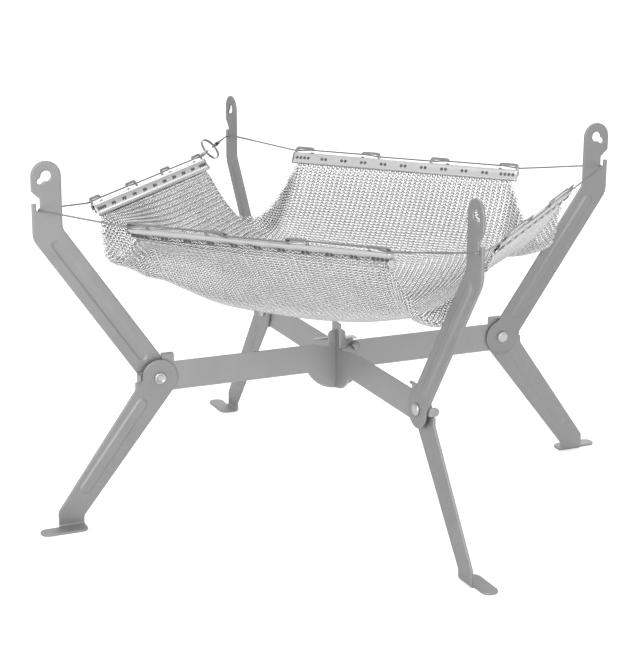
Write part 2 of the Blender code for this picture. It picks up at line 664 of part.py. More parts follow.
def latch_spring(nodes):
    """Turns round the pin in front of the lower bar, one leg on the bar's ear and one over the upper bar."""
    x, z = LATCH_PIN
    radius = PIN_RADIUS + SPRING_WIRE + SPRING_CLEARANCE
    steps = 10
    coil = []
    for i in range(int(SPRING_TURNS * steps) + 1):
        angle = math.radians(10) - 2 * math.pi * i / steps
        across = SPRING_PITCH * i / steps - SPRING_DEPTH
        coil.append((radius * math.cos(angle), across, radius * math.sin(angle)))
    on_ear = -SHEET / 2 - SPRING_WIRE - GAP
    beside = TAB_HALF_WIDTH + 0.002
    points = [(-0.0085, on_ear, 0.0062), (0, -SPRING_DEPTH, 0.0046), (0.0028, -SPRING_DEPTH, 0.0029), *coil]
    points += [(-0.0060, -0.0030, 0.0008), (-0.0110, 0.002 - beside, 0.0004), (-0.0130, -beside, 0.0003)]
    points.append((-x - 0.0025, -beside, 0.0003))
    print("latch_spring least gap to itself, mm:", round(least_gap(coil, steps) * 1000, 2))
    wire(
        "latch_spring", [(px + x, py, pz + z) for px, py, pz in points],
        SPRING_WIRE, nodes, (0.5, 0.5, 0.5),
    )


def least_gap(points, steps):
    """The least gap of a wound wire to itself, half a turn or more along it."""
    gaps = [
        (Vector(a) - Vector(b)).length
        for i, a in enumerate(points)
        for b in points[i + steps // 2 :]
    ]
    return min(gaps) - 2 * SPRING_WIRE


# Rails
def rail_point(s, down, normal):
    """A point of a rail in its side's axes: outward, along, up. Down runs along the tilted sheet."""
    sine, cosine = math.sin(RAIL_TILT), math.cos(RAIL_TILT)
    return (RAIL_REACH - down * sine - normal * cosine, s, RAIL_HEIGHT - down * cosine + normal * sine)


def rail_plate(name, outline, low, high, collection, colour=None):
    """A flat piece of a rail: an outline of (along, down) points between two heights over its middle plane."""
    bm = bmesh.new()
    sides = [[bm.verts.new(rail_point(s, d, n)) for s, d in outline] for n in (low, high)]
    bm.faces.new(sides[0])
    bm.faces.new(sides[1])
    for i in range(len(outline)):
        bm.faces.new((sides[0][i - 1], sides[0][i], sides[1][i], sides[1][i - 1]))
    bmesh.ops.recalc_face_normals(bm, faces=bm.faces)
    mesh = bpy.data.meshes.new(name)
    bm.to_mesh(mesh)
    bm.free()
    return add_object(name, mesh, collection, colour)


def hook_outline(centre, leg_side):
    """One hook with its leg on one end and its open tip over a stub on the other. It stands on the fold."""
    half, top, thick = HOOK_HALF_LENGTH, -HOOK_TOP, HOOK_BAR
    foot, sill = FOLD_TOP + 0.0009, FOLD_TOP + 0.0005
    shape = [
        (-half, foot, 0), (-half + 0.0012, top, 0.0022), (half - 0.0012, top, 0.0022),
        (half, -0.0032, 0.0006), (half - 0.0026, -0.0026, 0.0006), (half - 0.0034, top + thick, 0.0010),
        (-half + HOOK_LEG + 0.0012, top + thick, 0.0010), (-half + HOOK_LEG, sill, 0),
        (half - 0.0040, sill, 0), (half - 0.0034, -0.0014, 0.0004), (half - 0.0004, -0.0014, 0.0004),
        (half, foot, 0),
    ]
    turn = 1 if leg_side < 0 else -1
    outline = [(centre + turn * x, down) for x, down in rounded(shape, 3)]
    return outline if turn > 0 else outline[::-1]


def rail_section():
    """The rail from its end: a short outer leaf, the fold, and an inner face with a pressed middle band."""
    outside = -SLOT_HALF - LEAF
    flat = SLOT_HALF + LEAF
    return [
        (outside, OUTER_LEAF), (outside, 0.0002), (-SLOT_HALF, FOLD_TOP), (SLOT_HALF, FOLD_TOP),
        (flat, 0.0004), (flat + 0.0004, 0.0016), (flat, 0.0032), (flat, 0.0076), (flat + 0.0006, 0.0086),
        (flat + 0.0007, 0.0100), (flat + 0.0002, 0.0113), (flat - 0.0005, RAIL_WIDTH),
        (SLOT_HALF, RAIL_WIDTH), (SLOT_HALF, FOLD_INSIDE), (-SLOT_HALF, FOLD_INSIDE), (-SLOT_HALF, OUTER_LEAF),
    ]


def rail_body(name, collection, colour):
    bm = bmesh.new()
    ends = [
        [bm.verts.new(rail_point(s, down, n)) for n, down in rail_section()]
        for s in (-RAIL_HALF_LENGTH, RAIL_HALF_LENGTH)
    ]
    bm.faces.new(ends[0])
    bm.faces.new(ends[1])
    for i in range(len(ends[0])):
        bm.faces.new((ends[0][i - 1], ends[0][i], ends[1][i], ends[1][i - 1]))
    bmesh.ops.recalc_face_normals(bm, faces=bm.faces)
    mesh = bpy.data.meshes.new(name)
    bm.to_mesh(mesh)
    bm.free()
    return add_object(name, mesh, collection, colour)


def tongues_outline():
    """The tongues that close over the mesh: one at each clinch and a double one at each end."""
    root, knee, tip = OUTER_LEAF - 0.002, OUTER_LEAF + LOBE_DEPTH * 0.75, OUTER_LEAF + LOBE_DEPTH
    edge = RAIL_HALF_LENGTH - 0.0005
    outline = [(-edge, root), (edge, root), (edge, OUTER_LEAF - 0.0003)]
    double = (HOOK_CENTRES[0], 2 * LOBE_HALF - 0.001)
    last = int((double[0] - double[1] - LOBE_HALF) / CLINCH_PITCH)
    single = [(CLINCH_PITCH * k, LOBE_HALF) for k in range(last, -last - 1, -1)]
    for centre, half in [double, *single, (-double[0], double[1])]:
        outline += [
            (centre + half, OUTER_LEAF - 0.0003), (centre + half - 0.0012, knee),
            (centre + half - 0.0032, tip), (centre - half + 0.0032, tip),
            (centre - half + 0.0012, knee), (centre - half, OUTER_LEAF - 0.0003),
        ]
    outline.append((-edge, OUTER_LEAF - 0.0003))
    return outline


def rail(side, angle, nodes, cutters):
    name = f"rail_{side}"
    obj = rail_body(name, nodes, (0.68, 0.68, 0.68))
    skin = 0.0001
    tongues = rail_plate(
        f"{name}_tongues", tongues_outline(), -SLOT_HALF - LEAF + skin, -SLOT_HALF - skin, cutters
    )
    boolean(obj, as_cutter(tongues), "UNION")
    tongues.parent = obj
    for centre in HOOK_CENTRES:
        for sign in (-1, 1):
            leg_side = sign if centre == HOOK_CENTRES[0] else -sign
            outline = hook_outline(sign * centre, leg_side)
            hook = rail_plate(f"{name}_hook", outline, -HOOK_SHEET / 2, HOOK_SHEET / 2, cutters)
            boolean(obj, as_cutter(hook), "UNION")
            hook.parent = obj
    place(obj, angle)


# Cable
def to_world(angle, point):
    return Matrix.Rotation(math.radians(angle), 3, "Z") @ Vector(point)


def corner_points(angle):
    """The cable turns through the notch of one arm."""
    middle = Vector((NOTCH_MIDDLE - GAP, -LAYER, CABLE_CORNER_HEIGHT))
    steps = ((-0.0016, -0.0036), (-0.0006, -0.0014), (0.0001, 0), (-0.0006, 0.0014), (-0.0016, 0.0036))
    return [to_world(angle, middle + Vector((u, t, 0))) for u, t in steps]


def hooked_points(angle):
    """The cable along one rail: outside at the ends and the middle, inside between each pair of hooks."""
    half = HOOK_HALF_LENGTH
    far, near = HOOK_CENTRES
    outer = [
        (far + half + 0.0015, -1), (far + half - 0.0036, -1), (far - half + 0.0044, 1),
        (far - half - 0.0010, 1), (near + half + 0.0010, 1), (near + half - 0.0044, 1),
        (near - half + 0.0036, -1), (near - half - 0.0015, -1),
    ]
    whole = [(-s, side) for s, side in outer] + [(s, side) for s, side in reversed(outer)]
    return [to_world(angle, rail_point(s, -CABLE_OVER_RAIL, side * CABLE_SIDE)) for s, side in whole]


def ring_frame():
    """Centre of the joining ring, the way the cable runs there, and the ring's second direction."""
    start = corner_points(90)[-1]
    end = hooked_points(135)[0]
    way = (end - start).normalized()
    centre = end - way * RING_FROM_RAIL
    level = Vector((0, 0, 1)).cross(way).normalized()
    across = level * math.cos(RING_TILT) + way.cross(level).normalized() * math.sin(RING_TILT)
    return centre, way, across


def eye_points(centre, way, across):
    """One end of the cable: from the ferrule, round the ring's wire, and back into the ferrule."""
    axis = way.cross(across).normalized()
    hub = centre + way * RING_RADIUS
    mouth = hub + way * (FERRULE_FROM_HUB - FERRULE_WALL)
    end = hub + way * (FERRULE_FROM_HUB + FERRULE_LENGTH + FERRULE_WALL)
    loop = [end + axis * STRAND_HALF, mouth + axis * STRAND_HALF]
    for k in range(9):
        angle = math.radians(60 + 240 * k / 8)
        loop.append(hub + (way * math.cos(angle) + axis * math.sin(angle)) * EYE_RADIUS)
    return loop + [mouth - axis * STRAND_HALF, end - axis * STRAND_HALF]


def ferrule(name, centre, way, across, nodes):
    """A crimped oval sleeve over the two strands beside an eye."""
    axis = way.cross(across).normalized()
    middle = centre + way * (RING_RADIUS + FERRULE_FROM_HUB + FERRULE_LENGTH / 2)
    bore = CABLE_RADIUS + 0.00035
    outer = slot_outline((-STRAND_HALF, 0), (STRAND_HALF, 0), bore + FERRULE_WALL)
    inner = slot_outline((-STRAND_HALF, 0), (STRAND_HALF, 0), bore)
    curve = bpy.data.curves.new(name, "CURVE")
    curve.dimensions = "2D"
    curve.fill_mode = "BOTH"
    curve.extrude = FERRULE_LENGTH / 2
    for outline in (outer, inner):
        spline = curve.splines.new("POLY")
        spline.points.add(len(outline) - 1)
        for point, (x, y) in zip(spline.points, outline):
            point.co = (x, y, 0, 1)
        spline.use_cyclic_u = True
    obj = add_object(name, curve, nodes, (0.6, 0.6, 0.6))
    turn = Matrix((axis, way.cross(axis), way)).transposed()
    obj.matrix_world = Matrix.Translation(middle) @ turn.to_4x4()


def cable_and_ring(nodes):
    centre, way, across = ring_frame()
    ring = [
        centre + (way * math.cos(a) + across * math.sin(a)) * RING_RADIUS
        for a in (2 * math.pi * k / 28 for k in range(28))
    ]
    wire("cable_ring", ring, RING_WIRE, nodes, (0.6, 0.6, 0.6), closed=True)
    ferrule("ferrule_rail", centre, way, across, nodes)
    ferrule("ferrule_arm", centre, -way, across, nodes)
    points = list(reversed(eye_points(centre, way, across)))
    path = points + hooked_points(135) + corner_points(180) + hooked_points(225) + corner_points(270)
    path += hooked_points(315) + corner_points(0) + hooked_points(45) + corner_points(90)
    path += eye_points(centre, -way, across)
    wire("tray_cable", path, CABLE_RADIUS, nodes, (0.6, 0.6, 0.6))


# Ring mesh
def hung_net():
    """The mesh as a net of cells in the axes of the rails, let down until it hangs at rest.

    Links pull when they are long and hardly push when they are short, as linked rings do.
    """
    count, cell = MESH_CELLS, 2 * MESH_HALF / MESH_CELLS
    edge = RAIL_REACH - RAIL_WIDTH * math.sin(RAIL_TILT)
    height = RAIL_HEIGHT - RAIL_WIDTH * math.cos(RAIL_TILT)
    steps = np.arange(-count // 2, count // 2 + 1)
    across, along = np.meshgrid(steps, steps, indexing="ij")
    alive = np.abs(across) + np.abs(along) <= count // 2 + MESH_RAIL_CELLS
    held_x, held_y = np.abs(across) == count // 2, np.abs(along) == count // 2
    free = alive & ~held_x & ~held_y
    squeeze = edge / MESH_HALF
    x = np.where(held_x, np.sign(across) * edge, across * cell * np.where(held_y, 1, squeeze))
    y = np.where(held_y, np.sign(along) * edge, along * cell * np.where(held_x, 1, squeeze))
    depth = 0.08 * (1 - (np.maximum(np.abs(across), np.abs(along)) * 2 / count) ** 2)
    place_now = np.stack([x, y, height - depth], -1)
    before = place_now.copy()
    links = [(1, 0, 1.0), (0, 1, 1.0), (1, 1, 0.03), (1, -1, 0.03), (2, 0, 0.02), (0, 2, 0.02)]
    for _ in range(1600):
        moved = place_now + (place_now - before) * 0.985
        moved[..., 2] -= 0.00004
        before, place_now = place_now, np.where(free[..., None], moved, place_now)
        for _ in range(2):
            place_now = pull_links(place_now, alive, free, links, cell)
    return place_now, alive, count


def pull_links(net, alive, free, links, cell):
    shift = np.zeros_like(net)
    weight = np.zeros(net.shape[:2])
    size = net.shape[0]
    for i, j, stiffness in links:
        first = (slice(0, size - i), slice(max(0, -j), size - max(0, j)))
        second = (slice(i, size), slice(max(0, j), size + min(0, j)))
        both = alive[first] & alive[second]
        gap = net[second] - net[first]
        length = np.linalg.norm(gap, axis=-1)
        rest = cell * math.hypot(i, j)
        softer = 1.0 if stiffness == 0.02 else 0.02
        pull = np.where(length > rest, stiffness, stiffness * softer) * both
        step = gap * (pull * (length - rest) / length * 0.5)[..., None]
        shift[first] += step
        shift[second] -= step
        weight[first] += both * stiffness
        weight[second] += both * stiffness
    return net + np.where(free[..., None], shift / np.maximum(weight, 1)[..., None] * 1.6, 0)


def fire_mesh(nodes):
    """The hung net as a thin sheet, its four straight sides clamped inside the rails."""
    net, alive, count = hung_net()
    bm = bmesh.new()
    verts = {}
    for i, j in zip(*np.nonzero(alive)):
        verts[int(i), int(j)] = bm.verts.new(net[i, j])
    for i in range(count):
        for j in range(count):
            ring = [verts.get(key) for key in ((i, j), (i + 1, j), (i + 1, j + 1), (i, j + 1))]
            ring = [vert for vert in ring if vert]
            if len(ring) >= 3:
                bm.faces.new(ring)
    rise = MESH_CLAMPED
    lift = Vector((rise * math.sin(RAIL_TILT), rise * math.cos(RAIL_TILT)))
    for fixed, (nx, ny) in ((0, (-1, 0)), (count, (1, 0))):
        for swap in (False, True):
            reach = Vector((ny, nx, 0)) if swap else Vector((nx, ny, 0))
            keys = [k for k in range(count + 1) if ((k, fixed) if swap else (fixed, k)) in verts]
            low = [verts[(k, fixed) if swap else (fixed, k)] for k in keys]
            high = [bm.verts.new(v.co + reach * lift.x + Vector((0, 0, lift.y))) for v in low]
            for k in range(len(low) - 1):
                bm.faces.new((low[k], low[k + 1], high[k + 1], high[k]))
    bmesh.ops.rotate(bm, verts=bm.verts, matrix=Matrix.Rotation(math.radians(45), 3, "Z"))
    bmesh.ops.recalc_face_normals(bm, faces=bm.faces)
    mesh = bpy.data.meshes.new("fire_mesh")
    bm.to_mesh(mesh)
    bm.free()
    obj = add_object("fire_mesh", mesh, nodes, (0.55, 0.55, 0.55))
    solid = obj.modifiers.new("thickness", "SOLIDIFY")
    solid.thickness = MESH_THICKNESS
    solid.offset = 0


def main():
    clear_scene()
    nodes = new_collection("portable_fire_pit")
    cutters = new_collection("cutters", hidden=True)
    crossed_bars(nodes, cutters)
    for corner, angle in CORNERS.items():
        arm(corner, angle, nodes, cutters)
        leg(corner, angle, nodes, cutters)
        knee_rivet(corner, angle, nodes)
    latch(nodes, cutters)
    for side, angle in SIDES.items():
        rail(side, angle, nodes, cutters)
    cable_and_ring(nodes)
    fire_mesh(nodes)


main()
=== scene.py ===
import math

import bmesh
import bpy
import numpy as np
from mathutils import Matrix, Vector


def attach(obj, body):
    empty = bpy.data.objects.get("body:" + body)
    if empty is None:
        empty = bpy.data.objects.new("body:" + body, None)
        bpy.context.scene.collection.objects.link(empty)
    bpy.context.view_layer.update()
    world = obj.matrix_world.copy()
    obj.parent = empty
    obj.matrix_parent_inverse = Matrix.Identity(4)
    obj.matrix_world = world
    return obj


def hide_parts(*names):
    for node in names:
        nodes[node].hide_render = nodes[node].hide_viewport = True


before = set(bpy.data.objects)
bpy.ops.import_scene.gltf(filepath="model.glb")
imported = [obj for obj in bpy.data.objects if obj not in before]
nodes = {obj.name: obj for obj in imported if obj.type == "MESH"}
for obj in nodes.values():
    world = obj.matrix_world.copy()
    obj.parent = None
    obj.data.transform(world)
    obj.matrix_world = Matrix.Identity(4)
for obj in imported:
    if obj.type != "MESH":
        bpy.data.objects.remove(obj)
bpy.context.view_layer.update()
scene = bpy.context.scene
scene.view_settings.view_transform = "Standard"


# The studio: a camera at the photo's place, in front and a little left, a pale
# floor, and one large soft lamp in front with a weaker one behind.
LENS, SENSOR, FRAME_SHIFT = 108.25, 36, (-0.1117, 0.0769)
CAMERA_PLACE, CAMERA_TURN = (-0.6895, -1.5244, 0.6160), (72.888, -0.867, -25.755)
PAPER, FLOOR_HALF = (0.93, 0.93, 0.93, 1), 8

camera = bpy.data.objects.new("camera", bpy.data.cameras.new("camera"))
scene.collection.objects.link(camera)
camera.data.lens, camera.data.sensor_width = LENS, SENSOR
camera.data.shift_x, camera.data.shift_y = FRAME_SHIFT
camera.data.clip_start, camera.data.clip_end = 0.05, 60
camera.location = CAMERA_PLACE
camera.rotation_euler = [math.radians(turn) for turn in CAMERA_TURN]
scene.camera = camera


def put(tree, kind, inputs=None, **settings):
    """Adds a shader node. An input is a number, a colour or another node's output."""
    node = tree.nodes.new(kind)
    for key, value in settings.items():
        setattr(node, key, value)
    for key, value in (inputs or {}).items():
        if isinstance(value, bpy.types.NodeSocket):
            tree.links.new(value, node.inputs[key])
        else:
            node.inputs[key].default_value = value
    return node


def remap(tree, value, start, end, new_start, new_end):
    """A value stretched from one range to another, and held at its ends."""
    sockets = {0: value, 1: start, 2: end, 3: new_start, 4: new_end}
    return put(tree, "ShaderNodeMapRange", sockets).outputs[0]


def times(tree, first, second):
    return put(tree, "ShaderNodeMath", {0: first, 1: second}, operation="MULTIPLY").outputs[0]


def new_material(name):
    """A material with nodes, with its tree and the sockets of its main shader."""
    made = bpy.data.materials.new(name)
    made.use_nodes = True
    return made, made.node_tree, made.node_tree.nodes["Principled BSDF"].inputs


def soft_lamp(name, place, aim, width, watts):
    lamp = bpy.data.lights.new(name, "AREA")
    lamp.shape = "SQUARE"
    lamp.size, lamp.energy = width, watts
    obj = bpy.data.objects.new(name, lamp)
    scene.collection.objects.link(obj)
    obj.location = place
    obj.rotation_euler = (Vector(aim) - Vector(place)).to_track_quat("-Z", "Y").to_euler()


soft_lamp("key_lamp", (-1.25, -1.95, 1.25), aim=(0, 0, 0.15), width=1.3, watts=26)
soft_lamp("back_lamp", (1.3, 1.7, 1.9), aim=(0, 0, 0.15), width=1.2, watts=12)

# The sky is paler upward and a little brighter in mirrors, and plain white to the camera
world = bpy.data.worlds.new("studio")
world.use_nodes = True
scene.world = world
sky = world.node_tree
sky.nodes.clear()
path = put(sky, "ShaderNodeLightPath")
straight, through = path.outputs["Is Camera Ray"], path.outputs["Is Transmission Ray"]
seen = put(sky, "ShaderNodeMath", {0: straight, 1: through}, operation="MAXIMUM")
ray = put(sky, "ShaderNodeTexCoord")
height = put(sky, "ShaderNodeSeparateXYZ", {0: ray.outputs["Generated"]})
level = remap(sky, height.outputs["Z"], -0.1, 0.75, 0.62, 0.95)
mirrored = times(sky, path.outputs["Is Glossy Ray"], 0.06)
lit = put(sky, "ShaderNodeMath", {0: level, 1: mirrored}, operation="ADD")
strength = put(sky, "ShaderNodeMix", {0: seen.outputs[0], 2: lit.outputs[0], 3: 1.0})
light = put(sky, "ShaderNodeBackground", {"Color": (1, 1, 1, 1), "Strength": strength.outputs[0]})
put(sky, "ShaderNodeOutputWorld", {"Surface": light.outputs[0]})

bm = bmesh.new()
bmesh.ops.create_grid(bm, x_segments=1, y_segments=1, size=FLOOR_HALF)
floor_mesh = bpy.data.meshes.new("floor")
bm.to_mesh(floor_mesh)
bm.free()
floor = bpy.data.objects.new("floor", floor_mesh)
scene.collection.objects.link(floor)
paper, tree, sheet = new_material("floor_paper")
sheet["Base Color"].default_value = PAPER
sheet["Roughness"].default_value = 1
sheet["Specular IOR Level"].default_value = 0
sheet["Emission Color"].default_value = (1, 1, 1, 1)
path = put(tree, "ShaderNodeLightPath")
tree.links.new(times(tree, path.outputs["Is Camera Ray"], 0.30), sheet["Emission Strength"])
floor_mesh.materials.append(paper)


# The two bars are 25 x 2 mm flat steel on edge, blanked with their stops, which are
# bent over. The steel is blasted matte, so it has a fine even grain and paler edges.
BAR_GREY, RUBBED_GREY, RUBBED_SHARE = 0.40, 0.56, 0.55
PIT_SIZE, PIT_DEPTH, PIT_CONTRAST = 0.0006, 0.0002, 0.12
FLAT, ROUND = 0.995, 0.90  # how well the rounded normal agrees with the true one


def grey(shade):
    return (shade, shade, shade, 1)


def blend(tree, share, first, second, way="MIX"):
    """Two colours mixed by a share. Any of the three may come from another node."""
    node = put(tree, "ShaderNodeMix", {0: share, 6: first, 7: second}, data_type="RGBA", blend_type=way)
    return node.outputs[2]


def noise(tree, spot, scale, detail, roughness=0.5):
    sockets = {"Vector": spot, "Scale": scale, "Detail": detail, "Roughness": roughness}
    return put(tree, "ShaderNodeTexNoise", sockets).outputs["Fac"]


def from_noise(tree, value, low, high):
    """Noise, which mostly lies between 0.3 and 0.7, stretched to a range."""
    return remap(tree, value, 0.3, 0.7, low, high)


def one_over(tree, size):
    return put(tree, "ShaderNodeMath", {0: 1.0, 1: size}, operation="DIVIDE").outputs[0]


def effect(name, inputs, outputs):
    """An empty shader node group with named sockets, with its input and output nodes."""
    tree = bpy.data.node_groups.new(name, "ShaderNodeTree")
    for label, kind, value in inputs:
        socket = tree.interface.new_socket(name=label, in_out="INPUT", socket_type=kind)
        if value is not None:
            socket.default_value = value
    for label, kind in outputs:
        tree.interface.new_socket(name=label, in_out="OUTPUT", socket_type=kind)
    return tree, tree.nodes.new("NodeGroupInput"), tree.nodes.new("NodeGroupOutput")


# Fine pits of the blasting, over faint wide clouds
grain, given, out = effect(
    "blasted_grain",
    [
        ("Vector", "NodeSocketVector", None),
        ("Pit Size", "NodeSocketFloat", 0.0005), ("Cloud Size", "NodeSocketFloat", 0.03),
    ],
    [("Shade", "NodeSocketFloat"), ("Clouds", "NodeSocketFloat"), ("Height", "NodeSocketFloat")],
)
spot = given.outputs["Vector"]
fine, wide = one_over(grain, given.outputs["Pit Size"]), one_over(grain, given.outputs["Cloud Size"])
pits, clouds = noise(grain, spot, fine, 3.0, 0.6), noise(grain, spot, wide, 4.0, 0.55)
grain.links.new(pits, out.inputs["Shade"])
grain.links.new(clouds, out.inputs["Clouds"])
grain.links.new(pits, out.inputs["Height"])

# Paler edges, where the tumbling and handling have rubbed the matte skin
wear, given, out = effect(
    "edge_wear",
    [
        ("Vector", "NodeSocketVector", None),
        ("Width", "NodeSocketFloat", 0.0006), ("Patch Size", "NodeSocketFloat", 0.012),
    ],
    [("Mask", "NodeSocketFloat")],
)
rounded_off = put(wear, "ShaderNodeBevel", {"Radius": given.outputs["Width"]}, samples=4)
face = put(wear, "ShaderNodeNewGeometry")
normals = {0: rounded_off.outputs[0], 1: face.outputs["Normal"]}
along = put(wear, "ShaderNodeVectorMath", normals, operation="DOT_PRODUCT")
turned = remap(wear, along.outputs["Value"], FLAT, ROUND, 0.0, 1.0)
patches = noise(wear, given.outputs["Vector"], one_over(wear, given.outputs["Patch Size"]), 3.0)
broken = remap(wear, patches, 0.35, 0.65, 0.25, 1.0)
wear.links.new(times(wear, turned, broken), out.inputs["Mask"])


def blasted_steel(name, shade, shift, soften=0.0):
    """Matte blasted steel. Shift moves the pattern, and soften rounds the look of pressed edges."""
    made, tree, steel = new_material(name)
    steel["Metallic"].default_value = 0.75
    place = put(tree, "ShaderNodeTexCoord")
    offset = (shift, 0.3 * shift, 0.1)
    moved = put(tree, "ShaderNodeMapping", {"Vector": place.outputs["Object"], "Location": offset})
    skin = put(tree, "ShaderNodeGroup", {}, node_tree=grain)
    skin.inputs["Pit Size"].default_value = PIT_SIZE
    edges = put(tree, "ShaderNodeGroup", {}, node_tree=wear)
    for node in (skin, edges):
        tree.links.new(moved.outputs[0], node.inputs["Vector"])
    dark, pale = grey((1 - PIT_CONTRAST) * shade), grey((1 + PIT_CONTRAST) * shade)
    pitted = blend(tree, skin.outputs["Shade"], dark, pale)
    toned = blend(tree, 1.0, pitted, from_noise(tree, skin.outputs["Clouds"], 0.94, 1.05), "MULTIPLY")
    rubbed = times(tree, edges.outputs["Mask"], RUBBED_SHARE)
    tree.links.new(blend(tree, rubbed, toned, grey(RUBBED_GREY)), steel["Base Color"])
    rough = from_noise(tree, skin.outputs["Clouds"], 0.50, 0.58)
    smoother = put(tree, "ShaderNodeMath", {0: rubbed, 1: -0.25, 2: rough}, operation="MULTIPLY_ADD")
    tree.links.new(smoother.outputs[0], steel["Roughness"])
    relief = {"Height": skin.outputs["Height"], "Strength": 0.30, "Distance": PIT_DEPTH}
    bump = put(tree, "ShaderNodeBump", relief)
    if soften:
        eased = put(tree, "ShaderNodeBevel", {"Radius": soften}, samples=8)
        tree.links.new(eased.outputs[0], bump.inputs["Normal"])
    tree.links.new(bump.outputs[0], steel["Normal"])
    return made


def give(obj, made):
    """The material goes on every slot of a CAD node, or on a new piece's only one."""
    if not obj.data.materials:
        obj.data.materials.append(made)
    for slot in obj.material_slots:
        slot.material = made


for i, name in enumerate(("lower_bar", "upper_bar")):
    give(nodes[name], blasted_steel(f"blasted_{name}", BAR_GREY, 0.4 * i))


# Four arms and four legs, pressed from the same 2 mm sheet with a long bead for
# stiffness. Arms have a keyhole and a rope notch, legs a foot that is bent off.
# The four arms are one steel, but their greys are painted light and shade: each is set by how light falls on
# it, darkest on the back arm, which faces away from the light
ARM_PAINTED_LIGHT_GREYS = {"right": 0.335, "back": 0.275, "left": 0.37, "front": 0.36}
LEG_GREY = 0.355
ARM_PRESSING, LEG_PRESSING = 0.0022, 0.0016

for i, (corner, painted_light_grey) in enumerate(ARM_PAINTED_LIGHT_GREYS.items()):
    give(nodes[f"arm_{corner}"], blasted_steel(f"blasted_arm_painted_light_{corner}", painted_light_grey, 0.7 + i, ARM_PRESSING))
    give(nodes[f"leg_{corner}"], blasted_steel(f"blasted_leg_{corner}", LEG_GREY, 5.2 + i, LEG_PRESSING))


# Four knee rivets of plain bright steel. A rivet goes through arm, bar and leg: its
# turned head lies on the arm, and its end is rolled over on the leg round a dish.
KNEE_REACH, KNEE_HEIGHT, ARM_FACE = 0.165, 0.122, -0.0036
SHANK, GRIP, HEAD_RADIUS, HEAD_RISE = 0.003, 0.0072, 0.0054, 0.0021
BRIGHT_EDGE, BRIGHT_EDGE_WIDTH, SMEARS_PER_METRE = 0.86, 0.0003, 45.0

# Faint turning and rolling lines, and the soft unevenness of polished sheet
polish, given, out = effect(
    "polish_marks",
    [
        ("Vector", "NodeSocketVector", None), ("Way", "NodeSocketFloat", 0.0),
        ("Size", "NodeSocketFloat", 0.0004), ("Stretch", "NodeSocketFloat", 30.0),
    ],
    [("Streaks", "NodeSocketFloat"), ("Smears", "NodeSocketFloat")],
)
spot, way = given.outputs["Vector"], given.outputs["Way"]
turned = put(polish, "ShaderNodeVectorRotate", {"Vector": spot, "Angle": way}, rotation_type="Z_AXIS")
parted = put(polish, "ShaderNodeSeparateXYZ", {0: turned.outputs[0]}).outputs
slow = put(polish, "ShaderNodeMath", {0: parted["Y"], 1: given.outputs["Stretch"]}, operation="DIVIDE")
joined = put(polish, "ShaderNodeCombineXYZ", {"X": parted["X"], "Y": slow.outputs[0], "Z": parted["Z"]})
streaks = noise(polish, joined.outputs[0], one_over(polish, given.outputs["Size"]), 2.0)
polish.links.new(streaks, out.inputs["Streaks"])
polish.links.new(noise(polish, spot, SMEARS_PER_METRE, 3.0), out.inputs["Smears"])


def bright_steel(name, colour, roughness, way=0.0, streak=0.08, edge=0.4):
    """Polished steel with streaks along a way in the XY plane, given as a turn from +Y."""
    made, tree, steel = new_material(name)
    steel["Metallic"].default_value = 1.0
    place = put(tree, "ShaderNodeTexCoord")
    marks = put(tree, "ShaderNodeGroup", {}, node_tree=polish)
    marks.inputs["Way"].default_value = way
    edges = put(tree, "ShaderNodeGroup", {}, node_tree=wear)
    edges.inputs["Width"].default_value = BRIGHT_EDGE_WIDTH
    for node in (marks, edges):
        tree.links.new(place.outputs["Object"], node.inputs["Vector"])
    dark, pale = [(*(share * part for part in colour), 1) for share in (1 - streak, 1 + streak)]
    streaked = blend(tree, marks.outputs["Streaks"], dark, pale)
    rubbed = times(tree, edges.outputs["Mask"], edge)
    tree.links.new(blend(tree, rubbed, streaked, grey(BRIGHT_EDGE)), steel["Base Color"])
    rough = from_noise(tree, marks.outputs["Smears"], roughness - 0.05, roughness + 0.07)
    tree.links.new(rough, steel["Roughness"])
    relief = {"Height": marks.outputs["Streaks"], "Strength": 0.10, "Distance": 0.0001}
    bump = put(tree, "ShaderNodeBump", relief)
    tree.links.new(bump.outputs[0], steel["Normal"])
    return made


def new_piece(name, bm):
    """A smooth-shaded piece made of a bmesh, which is freed. Its place is in its mesh."""
    mesh = bpy.data.meshes.new(name)
    bm.to_mesh(mesh)
    bm.free()
    for polygon in mesh.polygons:
        polygon.use_smooth = True
    obj = bpy.data.objects.new(name, mesh)
    scene.collection.objects.link(obj)
    return obj


def open_line(bm, points):
    """Vertices joined by edges in a row. Returns both lists."""
    verts = [bm.verts.new(point) for point in points]
    return verts, [bm.edges.new(pair) for pair in zip(verts, verts[1:])]


def spin_round(bm, geom, steps):
    """Spins vertices and edges once round the Z axis."""
    bmesh.ops.spin(
        bm, geom=geom, cent=(0, 0, 0), axis=(0, 0, 1), dvec=(0, 0, 0),
        angle=2 * math.pi, steps=steps, use_merge=True,
    )


def turned_piece(name, profile, place, steps):
    """Spins a profile of (radius, height), listed upward along the axis, and puts it in place."""
    bm = bmesh.new()
    verts, edges = open_line(bm, [(r, 0, h) for r, h in profile])
    spin_round(bm, verts + edges, steps)
    bmesh.ops.remove_doubles(bm, verts=bm.verts, dist=0.00001)
    bmesh.ops.recalc_face_normals(bm, faces=bm.faces)
    bm.transform(place)
    return new_piece(name, bm)


def crisp(obj, angle=38):
    """Smooth shading that stays sharp at real edges, where faces turn by more than the angle."""
    obj.data.set_sharp_from_angle(angle=math.radians(angle))
    return obj


